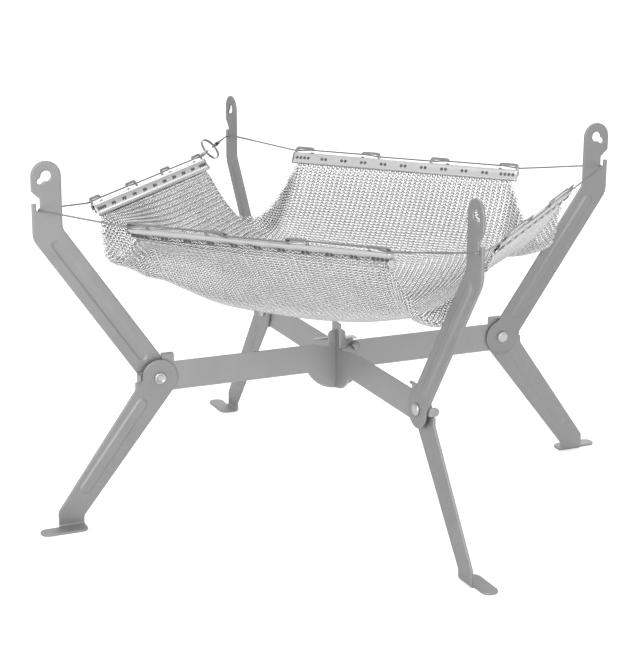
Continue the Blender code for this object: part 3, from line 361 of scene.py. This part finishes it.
# From the arm's face: the head on it, the shank through all three, and the rolled end
rivet_profile = [
    (0, -HEAD_RISE), (0.0028, -HEAD_RISE), (0.0043, -0.0018), (0.0050, -0.0012), (HEAD_RADIUS, -0.0005),
    (HEAD_RADIUS, 0), (SHANK, 0), (SHANK, GRIP),
    (0.0049, GRIP), (0.0052, GRIP + 0.0004), (0.0052, GRIP + 0.0008), (0.0048, GRIP + 0.0014),
    (0.0042, GRIP + 0.0017), (0.0036, GRIP + 0.0016), (0.0030, GRIP + 0.0011), (0.0025, GRIP + 0.0006),
    (0.0016, GRIP + 0.00055), (0, GRIP + 0.0005),
]
rivet_steel = bright_steel("rivet_steel", (0.60, 0.60, 0.60), roughness=0.30, streak=0.05)
for corner, angle, body in (
    ("right", 0, "lower_frame"), ("back", 90, "upper_frame"),
    ("left", 180, "lower_frame"), ("front", 270, "upper_frame"),
):
    knee = Matrix.Translation((KNEE_REACH, ARM_FACE, KNEE_HEIGHT)) @ Matrix.Rotation(-math.pi / 2, 4, "X")
    stand = Matrix.Rotation(math.radians(angle), 4, "Z") @ knee
    rivet = crisp(turned_piece(f"rivet_{corner}", rivet_profile, stand, steps=48))
    give(rivet, rivet_steel)
    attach(rivet, body)
    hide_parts(f"knee_rivet_{corner}")


# The latch at the crossing: a small bright plate on a pin through the lower bar,
# and a wire spring round the pin with one leg on the bar's ear and one over the upper bar.
PIN_PLACE = (0.016, 0.0, 0.1303)
PIN_RADIUS, PIN_KNOB, PIN_FOOT = 0.0015, 0.00556, -0.01115
SPRING_WIRE, SPRING_RADIUS = 0.0006, 0.0025
SPRING_TURNS, SPRING_PITCH, SPRING_DEPTH = 1.5, 0.00184, 0.00466
COIL_STEPS, COIL_START = 10, math.radians(10)

give(nodes["latch_plate"], bright_steel("latch_steel", (0.62, 0.62, 0.62), roughness=0.34, streak=0.07))

pin_profile = [
    (0, PIN_FOOT - 0.0011), (0.0012, PIN_FOOT - 0.0011), (0.0026, PIN_FOOT - 0.0007), (0.0026, PIN_FOOT),
    (PIN_RADIUS, PIN_FOOT), (PIN_RADIUS, PIN_KNOB),
    (0.0033, PIN_KNOB), (0.0035, PIN_KNOB + 0.0003), (0.0033, PIN_KNOB + 0.0009),
    (0.0028, PIN_KNOB + 0.0014), (0.0018, PIN_KNOB + 0.0018), (0, PIN_KNOB + 0.0019),
]
stand = Matrix.Translation(PIN_PLACE) @ Matrix.Rotation(math.pi / 2, 4, "X")
pin = crisp(turned_piece("latch_pin_turned", pin_profile, stand, steps=32))
give(pin, bright_steel("pin_steel", (0.36, 0.36, 0.365), roughness=0.38))
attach(pin, "lower_frame")
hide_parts("latch_pin")


def drawn_wire(name, points, radius=0.0, section=None, lay=None):
    """A wire along points: round, or with a section of its own that twists once per lay."""
    curve = bpy.data.curves.new(name, "CURVE")
    curve.dimensions = "3D"
    curve.twist_mode = "MINIMUM"
    curve.use_fill_caps = True
    if section:
        curve.bevel_mode = "OBJECT"
        curve.bevel_object = section
    else:
        curve.bevel_depth = radius
        curve.bevel_resolution = 2
    spline = curve.splines.new("POLY")
    spline.points.add(len(points) - 1)
    run, last = 0.0, points[0]
    for point, here in zip(spline.points, points):
        run += (Vector(here) - Vector(last)).length
        last = here
        point.co = (*here, 1)
        point.tilt = 2 * math.pi * run / lay if lay else 0
    shape = bpy.data.objects.new(name + "_curve", curve)
    scene.collection.objects.link(shape)
    bpy.context.view_layer.update()
    depsgraph = bpy.context.evaluated_depsgraph_get()
    mesh = bpy.data.meshes.new_from_object(shape.evaluated_get(depsgraph))
    bpy.data.objects.remove(shape)
    for polygon in mesh.polygons:
        polygon.use_smooth = True
    obj = bpy.data.objects.new(name, mesh)
    mesh.name = name
    scene.collection.objects.link(obj)
    return obj


def smooth_line(points, step):
    """More points on a smooth curve through the given ones. Long runs stay straight."""
    points = [Vector(p) for p in points]
    last = len(points) - 1
    ways = [(points[min(i + 1, last)] - points[max(i - 1, 0)]).normalized() for i in range(last + 1)]
    made = []
    for i, (a, b) in enumerate(zip(points, points[1:])):
        run = (b - a).length
        count = max(1, math.ceil(run / step))
        for k in range(count):
            t = k / count
            made.append(
                a * (2 * t**3 - 3 * t**2 + 1) + ways[i] * run * (t**3 - 2 * t**2 + t)
                + b * (3 * t**2 - 2 * t**3) + ways[i + 1] * run * (t**3 - t**2)
            )
    return made + [points[-1]]


x, z = PIN_PLACE[0], PIN_PLACE[2]
coil = []
for k in range(int(SPRING_TURNS * COIL_STEPS) + 1):
    angle = COIL_START - 2 * math.pi * k / COIL_STEPS
    across = SPRING_PITCH * k / COIL_STEPS - SPRING_DEPTH
    coil.append((x + SPRING_RADIUS * math.cos(angle), across, z + SPRING_RADIUS * math.sin(angle)))
ear_leg = [
    (x - 0.0085, -0.0019, z + 0.0062), (x, -SPRING_DEPTH, z + 0.0046),
    (x + 0.0028, -SPRING_DEPTH, z + 0.0029),
]
bar_leg = [
    (x - 0.0060, -0.0030, z + 0.0008), (x - 0.0110, -0.0080, z + 0.0004),
    (x - 0.0130, -0.0100, z + 0.0003), (-0.0025, -0.0100, z + 0.0003),
]
route = smooth_line([*ear_leg, *coil, *bar_leg], step=0.0005)
spring = drawn_wire("latch_spring_wound", route, SPRING_WIRE)
give(spring, bright_steel("spring_steel", (0.34, 0.34, 0.345), roughness=0.34))
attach(spring, "lower_frame")
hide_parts("latch_spring")


# Four clamp rails of bright 0.8 mm sheet, folded over the edge of the ring mesh and
# clinched through it. The inner leaf is pressed in bands, and the outer one has tongues.
RAIL_HALF, RAIL_TILT = 0.112, math.radians(31)
RAIL_REACH, RAIL_HEIGHT = 0.17811, 0.26425
RAIL_DEPTH, LEAF, SLOT = 0.0115, 0.0008, 0.0011
HOOKS, HOOK_HALF, HOOK_SHEET, BROKEN_EDGE = (0.1016, 0.0343), 0.010, 0.0010, 0.0002
TONGUE_ROOT, TONGUE_HALF, END_TONGUE_HALF = 0.0045, 0.0042, 0.0074
PAIR_SPOTS, PAIR_HALF = [0.02 * k for k in range(-4, 5)], 0.0019
CLINCH_HEIGHTS = {1: -0.0052, -1: -0.0060}  # on the inner and on the outer leaf
SIDES = {"rear": 45, "left": 135, "front": 225, "right": 315}
sine, cosine = math.sin(RAIL_TILT), math.cos(RAIL_TILT)
# From a flat rail, x along, y inward off the sheet and z up it, to its place out on +X
RAIL_STAND = Matrix((
    (0, -cosine, sine, RAIL_REACH), (1, 0, 0, 0), (0, sine, cosine, RAIL_HEIGHT), (0, 0, 0, 1),
))


def on_side(angle):
    return Matrix.Rotation(math.radians(angle), 4, "Z") @ RAIL_STAND


def grown_verts(grown):
    return [v for v in grown if isinstance(v, bmesh.types.BMVert)]


def level_edges(grown, axis):
    """The edges whose two ends lie at the same place along an axis."""
    edges = [e for e in grown if isinstance(e, bmesh.types.BMEdge)]
    return [e for e in edges if abs(e.verts[0].co[axis] - e.verts[1].co[axis]) < 1e-7]


def channel():
    """The folded strip, from the tongues round the fold to the curled edge of the inner leaf."""
    mid = SLOT + LEAF / 2
    section = [
        (-mid, -TONGUE_ROOT), (-mid, -0.0012), (-mid + 0.0002, -0.0006), (-mid + 0.0007, -0.0001),
        (-0.0004, 0.00005), (0.0004, 0.00005), (mid - 0.0007, -0.0001), (mid - 0.0001, -0.0006),
        (mid + 0.0003, -0.0013), (mid + 0.0003, -0.0020), (mid, -0.0027), (mid, -0.0077),
        (mid + 0.0004, -0.0084), (mid + 0.0006, -0.0095), (mid + 0.0003, -0.0106), (mid - 0.0005, -0.0111),
    ]
    tongues = [(spot, TONGUE_HALF) for spot in PAIR_SPOTS]
    tongues += [(sign * HOOKS[0], END_TONGUE_HALF) for sign in (-1, 1)]
    stations = sorted({-RAIL_HALF, RAIL_HALF, *(c + s * h for c, h in tongues for s in (-1, 1))})
    bm = bmesh.new()
    _, edges = open_line(bm, [(stations[0], y, z) for y, z in section])
    for before, after in zip(stations, stations[1:]):
        grown = bmesh.ops.extrude_edge_only(bm, edges=edges)["geom"]
        bmesh.ops.translate(bm, vec=(after - before, 0, 0), verts=grown_verts(grown))
        edges = level_edges(grown, 0)
    for centre, half in tongues:
        rim = [e for e in bm.edges if e.is_boundary]
        rim = [e for e in rim if all(abs(v.co.z + TONGUE_ROOT) < 1e-6 for v in e.verts)]
        lip = [e for e in rim if all(abs(v.co.x - centre) < half + 1e-6 for v in e.verts)]
        # Down from the root in three steps, each tip narrower by a share
        for drop, narrow in ((0.0012, 0.96), (0.0013, 0.84), (0.0009, 0.66)):
            grown = bmesh.ops.extrude_edge_only(bm, edges=lip)["geom"]
            tip = grown_verts(grown)
            bmesh.ops.translate(bm, vec=(0, 0, -drop), verts=tip)
            bmesh.ops.scale(bm, vec=(narrow, 1, 1), space=Matrix.Translation((-centre, 0, 0)), verts=tip)
            lip = level_edges(grown, 2)
    bmesh.ops.recalc_face_normals(bm, faces=bm.faces)
    return bm


def hook_line(centre, turn):
    """One hook: a leg on one end, an open tip over a stub on the other."""
    half = HOOK_HALF
    shape = [
        (-half, -0.0010), (-half + 0.0002, 0.0020), (-half + 0.0009, 0.0048), (-half + 0.0016, 0.0060),
        (-half + 0.0030, 0.0065), (half - 0.0030, 0.0065), (half - 0.0014, 0.0060), (half - 0.0006, 0.0048),
        (half, 0.0034), (half - 0.0012, 0.0028), (half - 0.0024, 0.0027),
        (half - 0.0030, 0.0037), (half - 0.0040, 0.0041), (-half + 0.0052, 0.0041),
        (-half + 0.0042, 0.0038), (-half + 0.0034, 0.0024), (-half + 0.0028, 0.0002),
        (half - 0.0042, 0.0002), (half - 0.0036, 0.0011), (half - 0.0028, 0.0014), (half - 0.0008, 0.0014),
        (half, 0.0008), (half, -0.0010),
    ]
    return [(centre + turn * x, z) for x, z in shape]


def hooks():
    """Four hooks that stand on the fold, with their edges broken."""
    bm = bmesh.new()
    for distance in HOOKS:
        for sign in (-1, 1):
            turn = -sign if distance == HOOKS[0] else sign
            outline = [(x, -HOOK_SHEET / 2, z) for x, z in hook_line(sign * distance, turn)]
            flat = bm.faces.new([bm.verts.new(point) for point in outline])
            grown = bmesh.ops.extrude_face_region(bm, geom=[flat])["geom"]
            bmesh.ops.translate(bm, vec=(0, HOOK_SHEET, 0), verts=grown_verts(grown))
    bmesh.ops.recalc_face_normals(bm, faces=bm.faces)
    bmesh.ops.bevel(
        bm, geom=level_edges(bm.edges, 1), offset=BROKEN_EDGE, offset_type="OFFSET", affect="EDGES",
        segments=2, profile=0.5, material=-1,
    )
    return bm


def clinches():
    """The round dimples of the clinching on both leaves, in pairs, four at each end."""
    profile = [
        (0, 0.00005), (0.00055, 0.0001), (0.0009, 0.00035),
        (0.00115, 0.00042), (0.0014, 0.0003), (0.00155, -0.0002),
    ]
    bm = bmesh.new()
    places = [spot + s * PAIR_HALF for spot in PAIR_SPOTS for s in (-1, 1)]
    places += [sign * HOOKS[0] + s * PAIR_HALF for sign in (-1, 1) for s in (-3, -1, 1, 3)]
    for leaf, height in CLINCH_HEIGHTS.items():
        for place in places:
            verts, edges = open_line(bm, [(r, 0, h) for r, h in profile])
            spin_round(bm, verts + edges, steps=16)
            stand = Matrix.Translation((place, leaf * (SLOT + LEAF), height))
            stand @= Matrix.Rotation(-leaf * math.pi / 2, 4, "X")
            fresh = {v for f in bm.faces if not f.tag for v in f.verts}
            bmesh.ops.transform(bm, verts=list(fresh), matrix=stand)
            for f in bm.faces:
                f.tag = True
    bmesh.ops.remove_doubles(bm, verts=bm.verts, dist=0.00002)
    bmesh.ops.recalc_face_normals(bm, faces=bm.faces)
    return bm


hook_steel = bright_steel("hook_steel", (0.30, 0.30, 0.30), roughness=0.28, edge=0.8)
# The clinch dimples get a near-black copy of the rail steel, which is painted shade in the pressed dimples;
# their rims are paled by the edge mask
clinch_painted_shade = bright_steel("clinch_painted_shade", (0.13, 0.13, 0.13), roughness=0.34, streak=0.3, edge=0.9)
for side, angle in SIDES.items():
    rail_steel = bright_steel(
        f"rail_steel_{side}", (0.62, 0.62, 0.62), roughness=0.27, way=math.radians(-angle), streak=0.06,
    )
    for kind, bm, made in (
        ("clamp", channel(), rail_steel),
        ("hooks", hooks(), hook_steel),
        ("clinches", clinches(), clinch_painted_shade),
    ):
        bm.transform(on_side(angle))
        piece = new_piece(f"{kind}_{side}", bm)
        if kind == "clamp":
            leaf = piece.modifiers.new("leaf", "SOLIDIFY")
            leaf.thickness, leaf.offset, leaf.use_even_offset = LEAF, 0, True
        crisp(piece, angle=50)
        give(piece, made)
        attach(piece, "tray")
        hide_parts(f"rail_{side}")


# The wire rope: bright steel, 1.5 mm, six strands laid round a core. It lies in the
# arms' notches, weaves through the hooks, and its two eyes meet in a joining ring.
ROPE_RADIUS, ROPE_LAY, ROPE_PLAY = 0.00075, 0.0075, 0.00035
SECTION_POINTS, STRAND_SHARES = 24, (1.0, 0.95, 0.80, 0.95)
NOTCH_REACH, NOTCH_LAYER, ROPE_HEIGHT = 0.26355, 0.0023, 0.27355
ROPE_OVER, ROPE_ASIDE = 0.00305, HOOK_SHEET / 2 + ROPE_RADIUS + ROPE_PLAY
RING_RADIUS, RING_WIRE, RING_TILT, RING_FROM_HOOK = 0.0105, 0.0009, math.radians(-49), 0.0265
EYE_RADIUS, STRAND_HALF = RING_WIRE + ROPE_RADIUS + 0.0004, ROPE_RADIUS + 0.0001
FERRULE_WALL, FERRULE_LENGTH, FERRULE_FROM_HUB = 0.0006, 0.0048, 0.0061


def through_notch(angle):
    """The rope's way through one arm's notch, with an eased corner."""
    turn = Matrix.Rotation(math.radians(angle), 3, "Z")
    steps = ((-0.0016, -0.0036), (-0.0006, -0.0014), (0.0001, 0), (-0.0006, 0.0014), (-0.0016, 0.0036))
    return [turn @ Vector((NOTCH_REACH - 0.0003 + u, t - NOTCH_LAYER, ROPE_HEIGHT)) for u, t in steps]


def through_hooks(angle):
    """The rope's way along one rail. It changes sides inside each hook."""
    far, near, half = *HOOKS, HOOK_HALF
    outer = [
        (far + half + 0.0015, -1), (far + half - 0.0036, -1), (far - half + 0.0044, 1),
        (far - half - 0.0010, 1), (near + half + 0.0010, 1), (near + half - 0.0044, 1),
        (near - half + 0.0036, -1), (near - half - 0.0015, -1),
    ]
    whole = [(-s, side) for s, side in outer] + [(s, side) for s, side in reversed(outer)]
    return [on_side(angle) @ Vector((s, side * ROPE_ASIDE, ROPE_OVER)) for s, side in whole]


start, end = through_notch(90)[-1], through_hooks(135)[0]
ring_way = (end - start).normalized()
ring_centre = end - ring_way * RING_FROM_HOOK
level = Vector((0, 0, 1)).cross(ring_way).normalized()
ring_across = level * math.cos(RING_TILT) + ring_way.cross(level).normalized() * math.sin(RING_TILT)


def eye(way):
    """One end of the rope: out of the ferrule, round the ring's wire, and back."""
    axis = way.cross(ring_across).normalized()
    hub = ring_centre + way * RING_RADIUS
    mouth = hub + way * (FERRULE_FROM_HUB - FERRULE_WALL)
    end = hub + way * (FERRULE_FROM_HUB + FERRULE_LENGTH + FERRULE_WALL)
    loop = [end + axis * STRAND_HALF, mouth + axis * STRAND_HALF]
    # Nine points round the ring's wire, from 60 to 300 degrees
    for k in range(9):
        a = math.radians(60 + 30 * k)
        loop.append(hub + (way * math.cos(a) + axis * math.sin(a)) * EYE_RADIUS)
    return loop + [mouth - axis * STRAND_HALF, end - axis * STRAND_HALF]


route = list(reversed(eye(ring_way)))
for side in ("left", "front", "right", "rear"):
    route += through_hooks(SIDES[side]) + through_notch((SIDES[side] + 45) % 360)
route += eye(-ring_way)

# The section has a lobe of four points for each strand
strands = bpy.data.curves.new("rope_section", "CURVE")
strands.dimensions = "2D"
lobes = strands.splines.new("POLY")
lobes.points.add(SECTION_POINTS - 1)
for k, point in enumerate(lobes.points):
    a, reach = 2 * math.pi * k / SECTION_POINTS, ROPE_RADIUS * STRAND_SHARES[k % 4]
    point.co = (reach * math.cos(a), reach * math.sin(a), 0, 1)
lobes.use_cyclic_u = True
section = bpy.data.objects.new("rope_section", strands)
scene.collection.objects.link(section)
rope = drawn_wire("wire_rope", smooth_line(route, step=0.0010), section=section, lay=ROPE_LAY)
bpy.data.objects.remove(section)
give(rope, bright_steel("rope_steel", (0.28, 0.28, 0.28), roughness=0.32, streak=0.12, edge=0.0))
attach(rope, "tray")
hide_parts("tray_cable")


# The joining ring is a split ring, two turns of bright wire side by side that cross over
# once. On each side of it a short sleeve is crimped over the rope's two strands.
TURN_WIRE, TURN_ASIDE = 0.0006, 0.00063
CROSS_FROM, CROSS_HALF = 70, 18
MOUTH_WIDTH, MOUTH_WAIST = 0.94, 0.9
# A sleeve's waist at shares of its length, with three crimped bands
WAISTS = (
    (0.1, 1.06), (0.22, 1.0), (0.3, 0.84), (0.38, 1.0), (0.5, 0.84),
    (0.62, 1.0), (0.7, 0.84), (0.78, 1.0), (0.9, 1.06), (1.0, 0.9),
)

facing = ring_way.cross(ring_across).normalized()
# Two turns in degrees. In the middle of them the wire crosses from one side to the other
turns = []
for step in range(CROSS_HALF + 2, 720 - CROSS_HALF, 4):
    past = max(-1, min(1, (step - 360) / CROSS_HALF))
    a = math.radians(step + CROSS_FROM)
    radial = ring_way * math.cos(a) + ring_across * math.sin(a)
    turns.append(ring_centre + radial * RING_RADIUS + facing * TURN_ASIDE * math.sin(past * math.pi / 2))
ring = crisp(drawn_wire("joining_ring", turns, TURN_WIRE), angle=50)
give(ring, bright_steel("ring_steel", (0.36, 0.36, 0.36), roughness=0.26))
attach(ring, "tray")
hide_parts("cable_ring")

sleeve_metal = bright_steel("sleeve_metal", (0.44, 0.44, 0.44), roughness=0.36)
for name, node, way in (("sleeve_rail", "ferrule_rail", ring_way), ("sleeve_arm", "ferrule_arm", -ring_way)):
    axis = way.cross(ring_across).normalized()
    bm = bmesh.new()
    bmesh.ops.create_circle(bm, segments=24, radius=ROPE_RADIUS + ROPE_PLAY + FERRULE_WALL)
    for vert in bm.verts:
        vert.co.x += math.copysign(STRAND_HALF, vert.co.x) if abs(vert.co.x) > 1e-7 else 0
    last = bmesh.ops.contextual_create(bm, geom=bm.edges[:])["faces"]
    bmesh.ops.scale(bm, vec=(MOUTH_WIDTH, MOUTH_WAIST, 1), verts=bm.verts)
    wide, at = MOUTH_WAIST, 0.0
    for station, waist in WAISTS:
        last = bmesh.ops.extrude_discrete_faces(bm, faces=last)["faces"]
        verts = last[0].verts
        bmesh.ops.translate(bm, vec=(0, 0, (station - at) * FERRULE_LENGTH), verts=verts)
        bmesh.ops.scale(bm, vec=(1, waist / wide, 1), verts=verts)
        wide, at = waist, station
    bmesh.ops.translate(bm, vec=(0, 0, -FERRULE_LENGTH / 2), verts=bm.verts)
    bmesh.ops.recalc_face_normals(bm, faces=bm.faces)
    middle = ring_centre + way * (RING_RADIUS + FERRULE_FROM_HUB + FERRULE_LENGTH / 2)
    turn = Matrix((axis, way.cross(axis), way)).transposed().to_4x4()
    bm.transform(Matrix.Translation(middle) @ turn)
    sleeve = crisp(new_piece(name, bm), angle=55)
    give(sleeve, sleeve_metal)
    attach(sleeve, "tray")
    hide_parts(node)


# The ring mesh: thousands of small steel rings, each through two of the row above and
# two of the row below. Its four straight edges are clamped in the rails, and it hangs.
SLACK, CLAMPED, CELLS, RAIL_CELLS = 0.0154, 0.0099, 22, 6
HALF = RAIL_REACH + SLACK
# How the net is let down: its first sag, the fall in a step, the speed kept, steps, haste
START_DROP, FALL, KEPT_SPEED, FALLS, HASTE = 0.08, 0.00004, 0.985, 1600, 1.6
LINK_RADIUS, LINK_WIRE, LINK_INSET, EDGE_BAND = 0.00185, 0.00048, 0.0022, 0.001
LINK_PITCH, ROW_PITCH, HIGH_ZONE = 0.0030, 0.0024, 0.7
LEAN, LEAN_SPREAD, LEAST_LEAN, LEAN_OVER = math.radians(38), 0.05, 0.28, 0.006
# The greys of the wire's grain, and the reach of the occlusion that paints shade into the gaps
LINK_DARK, LINK_PALE, PAINTED_SHADE_REACH = 0.74, 1.0, 0.0022
# The left corner is lifted and the mesh beside it sags. Spots and widths are in cells
LEFT_LIFT, LIFT_FROM, LIFT_OVER = 0.034, 8, 8.5
LEFT_SAG, SAG_ACROSS, SAG_ALONG, SAG_WIDTH, FADE = 0.013, -7.5, 6.8, 2.5, 2.5
# A link's steps in the net, how hard it pulls, and the share of that with which it pushes:
# along the rows, aslant, and over two cells, which keeps the net from folding sharply
LINKS = (
    (1, 0, 1.0, 0.02), (0, 1, 1.0, 0.02), (1, 1, 0.03, 0.02), (1, -1, 0.03, 0.02),
    (2, 0, 0.02, 1.0), (0, 2, 0.02, 1.0),
)


def pull(net, alive, free, cell):
    """Links draw long gaps in and hardly push short ones out, as linked rings do."""
    shift, weight, size = np.zeros_like(net), np.zeros(net.shape[:2]), net.shape[0]
    for i, j, stiff, push in LINKS:
        first = (slice(0, size - i), slice(max(0, -j), size - max(0, j)))
        second = (slice(i, size), slice(max(0, j), size + min(0, j)))
        both = alive[first] & alive[second]
        gap = net[second] - net[first]
        length = np.linalg.norm(gap, axis=-1)
        rest = cell * math.hypot(i, j)
        share = np.where(length > rest, stiff, stiff * push) * both
        step = gap * (share * (length - rest) / length * 0.5)[..., None]
        shift[first] += step
        shift[second] -= step
        weight[first] += both * stiff
        weight[second] += both * stiff
    return net + np.where(free[..., None], shift / np.maximum(weight, 1)[..., None] * HASTE, 0)


def hang():
    """The mesh as a square net in the axes of the rails, let down until it is at rest."""
    cell = 2 * HALF / CELLS
    edge, height = RAIL_REACH - RAIL_DEPTH * sine, RAIL_HEIGHT - RAIL_DEPTH * cosine
    steps = np.arange(-CELLS // 2, CELLS // 2 + 1)
    across, along = np.meshgrid(steps, steps, indexing="ij")
    alive = np.abs(across) + np.abs(along) <= CELLS // 2 + RAIL_CELLS
    held_x, held_y = np.abs(across) == CELLS // 2, np.abs(along) == CELLS // 2
    free = alive & ~held_x & ~held_y
    x = np.where(held_x, np.sign(across) * edge, across * cell * np.where(held_y, 1, edge / HALF))
    y = np.where(held_y, np.sign(along) * edge, along * cell * np.where(held_x, 1, edge / HALF))
    drop = START_DROP * (1 - (np.maximum(np.abs(across), np.abs(along)) * 2 / CELLS) ** 2)
    now = np.stack([x, y, height - drop], -1)
    before = now.copy()
    for _ in range(FALLS):
        moved = now + (now - before) * KEPT_SPEED
        moved[..., 2] -= FALL
        before, now = now, np.where(free[..., None], moved, now)
        for _ in range(2):
            now = pull(now, alive, free, cell)
    return now, alive, cell, across, along


net, alive, cell, across, along = hang()
outward = np.clip((along - across - LIFT_FROM) / LIFT_OVER, 0, 1)
between = np.clip(1 - (along + across) ** 2 / (CELLS / 2) ** 2, 0, 1)
lifting = outward**2 * (3 - 2 * outward) * between
sagging = np.exp(-((across - SAG_ACROSS) ** 2 + (along - SAG_ALONG) ** 2) / SAG_WIDTH**2)
unheld_x, unheld_y = (np.minimum(1, (CELLS / 2 - np.abs(spots)) / FADE) for spots in (across, along))
net[..., 2] += (LEFT_LIFT * lifting - LEFT_SAG * sagging) * unheld_x * unheld_y

# The cut corners are carried on straight, so that the surface is smooth up to the cut
filled = alive.copy()
while not filled.all():
    for i, j in zip(*np.nonzero(~filled)):
        si, sj = (1 if i < CELLS / 2 else -1), (1 if j < CELLS / 2 else -1)
        if filled[i + si, j] and filled[i, j + sj]:
            net[i, j] = net[i + si, j] + net[i, j + sj] - net[i + si, j + sj]
            filled[i, j] = True
padded = np.pad(net, ((1, 1), (1, 1), (0, 0)), mode="reflect", reflect_type="odd")


def cubic(t):
    """Weights of four neighbours at a share t between the middle two, and their slopes."""
    weights = (-t + 2 * t**2 - t**3, 2 - 5 * t**2 + 3 * t**3, t + 4 * t**2 - 3 * t**3, t**3 - t**2)
    slopes = (-1 + 4 * t - 3 * t**2, -10 * t + 9 * t**2, 1 + 8 * t - 9 * t**2, 3 * t**2 - 2 * t)
    return np.array(weights) / 2, np.array(slopes) / 2


def on_mesh(u, v):
    """Place, way along u and way along v, at a spot of the flat mesh measured from its middle."""
    beyond_u, beyond_v = (max(0, abs(way) - HALF) * np.sign(way) for way in (u, v))
    a, b = (u - beyond_u + HALF) / cell, (v - beyond_v + HALF) / cell
    i, j = min(int(a), CELLS - 1), min(int(b), CELLS - 1)
    patch = padded[i:i + 4, j:j + 4]
    wa, sa = cubic(a - i)
    wb, sb = cubic(b - j)
    place = np.einsum("i,j,ijk->k", wa, wb, patch)
    way_u = np.einsum("i,j,ijk->k", sa, wb, patch)
    way_v = np.einsum("i,j,ijk->k", wa, sb, patch)
    if beyond_u:
        way_u = np.array([sine, 0, np.sign(u) * cosine])
        place = place + way_u * beyond_u
    if beyond_v:
        way_v = np.array([0, sine, np.sign(v) * cosine])
        place = place + way_v * beyond_v
    return Vector(place), Vector(way_u).normalized(), Vector(way_v)


bm = bmesh.new()
stand = Matrix.Translation((LINK_RADIUS, 0, 0)) @ Matrix.Rotation(math.pi / 2, 4, "X")
bmesh.ops.create_circle(bm, segments=3, radius=LINK_WIRE, matrix=stand)
spin_round(bm, bm.verts[:] + bm.edges[:], steps=8)
bmesh.ops.remove_doubles(bm, verts=bm.verts, dist=0.00001)
bmesh.ops.recalc_face_normals(bm, faces=bm.faces)
link = bpy.data.meshes.new("link")
bm.to_mesh(link)
bm.free()

spread = np.random.RandomState(11)
parts = {f"{side}_{zone}": bmesh.new() for side in SIDES for zone in ("low", "high")}
last_row = int((HALF + CLAMPED - LINK_INSET) / ROW_PITCH)
last_link = int((HALF + CLAMPED - LINK_INSET) / LINK_PITCH)
for row in range(-last_row, last_row + 1):
    for k in range(-last_link - 1, last_link + 1):
        u, v = (k + 0.5 * (row % 2)) * LINK_PITCH, row * ROW_PITCH
        into = max(abs(u), abs(v)) - HALF
        # None past the edge in the rail or past the cut corner, nor at an edge that no rail holds
        if into > CLAMPED - LINK_INSET or abs(u) + abs(v) > (CELLS / 2 + RAIL_CELLS) * cell:
            continue
        if into > -EDGE_BAND and min(abs(u), abs(v)) > RAIL_CELLS * cell:
            continue
        spot, way_u, way_v = on_mesh(u, v)
        out = way_u.cross(way_v).normalized()
        lean = LEAN * min(1.0, max(LEAST_LEAN, -into / LEAN_OVER))
        lean += spread.uniform(-LEAN_SPREAD, LEAN_SPREAD)
        lean *= 1 if row % 2 else -1
        first = way_u * math.cos(lean) + out * math.sin(lean)
        second = out.cross(way_u).normalized()
        stand = Matrix((first, second, first.cross(second))).transposed().to_4x4()
        if abs(u) > abs(v):
            side = "rear" if u > 0 else "front"
        else:
            side = "left" if v > 0 else "right"
        one = link.copy()
        one.transform(Matrix.Rotation(math.radians(45), 4, "Z") @ Matrix.Translation(spot) @ stand)
        zone = "high" if max(abs(u), abs(v)) > HIGH_ZONE * HALF else "low"
        parts[f"{side}_{zone}"].from_mesh(one)
        bpy.data.meshes.remove(one)

# Bright wire with painted shade: an occlusion node darkens its colour in the gaps between the rings, where
# light hardly gets in
link_steel, tree, steel = new_material("link_steel")
steel["Metallic"].default_value = 1.0
place = put(tree, "ShaderNodeTexCoord")
skin = put(tree, "ShaderNodeGroup", {"Vector": place.outputs["Object"]}, node_tree=grain)
skin.inputs["Pit Size"].default_value = 0.0016
skin.inputs["Cloud Size"].default_value = 0.05
shaded = blend(tree, skin.outputs["Shade"], grey(LINK_DARK), grey(LINK_PALE))
toned = blend(tree, 1.0, shaded, from_noise(tree, skin.outputs["Clouds"], 0.93, 1.05), "MULTIPLY")
tree.links.new(from_noise(tree, skin.outputs["Shade"], 0.12, 0.22), steel["Roughness"])
occlusion_for_painted_shade = put(tree, "ShaderNodeAmbientOcclusion", {"Distance": PAINTED_SHADE_REACH}, samples=4)
# Painted shade: the base colour is darkened where the occlusion finds other rings close by
gaps = remap(tree, occlusion_for_painted_shade.outputs["AO"], 0.32, 0.60, 0.02, 1.0)
tree.links.new(blend(tree, 1.0, toned, gaps, "MULTIPLY"), steel["Base Color"])
for name, bm in parts.items():
    piece = new_piece(f"ring_mesh_{name}", bm)
    give(piece, link_steel)
    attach(piece, "tray")
    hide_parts("fire_mesh")
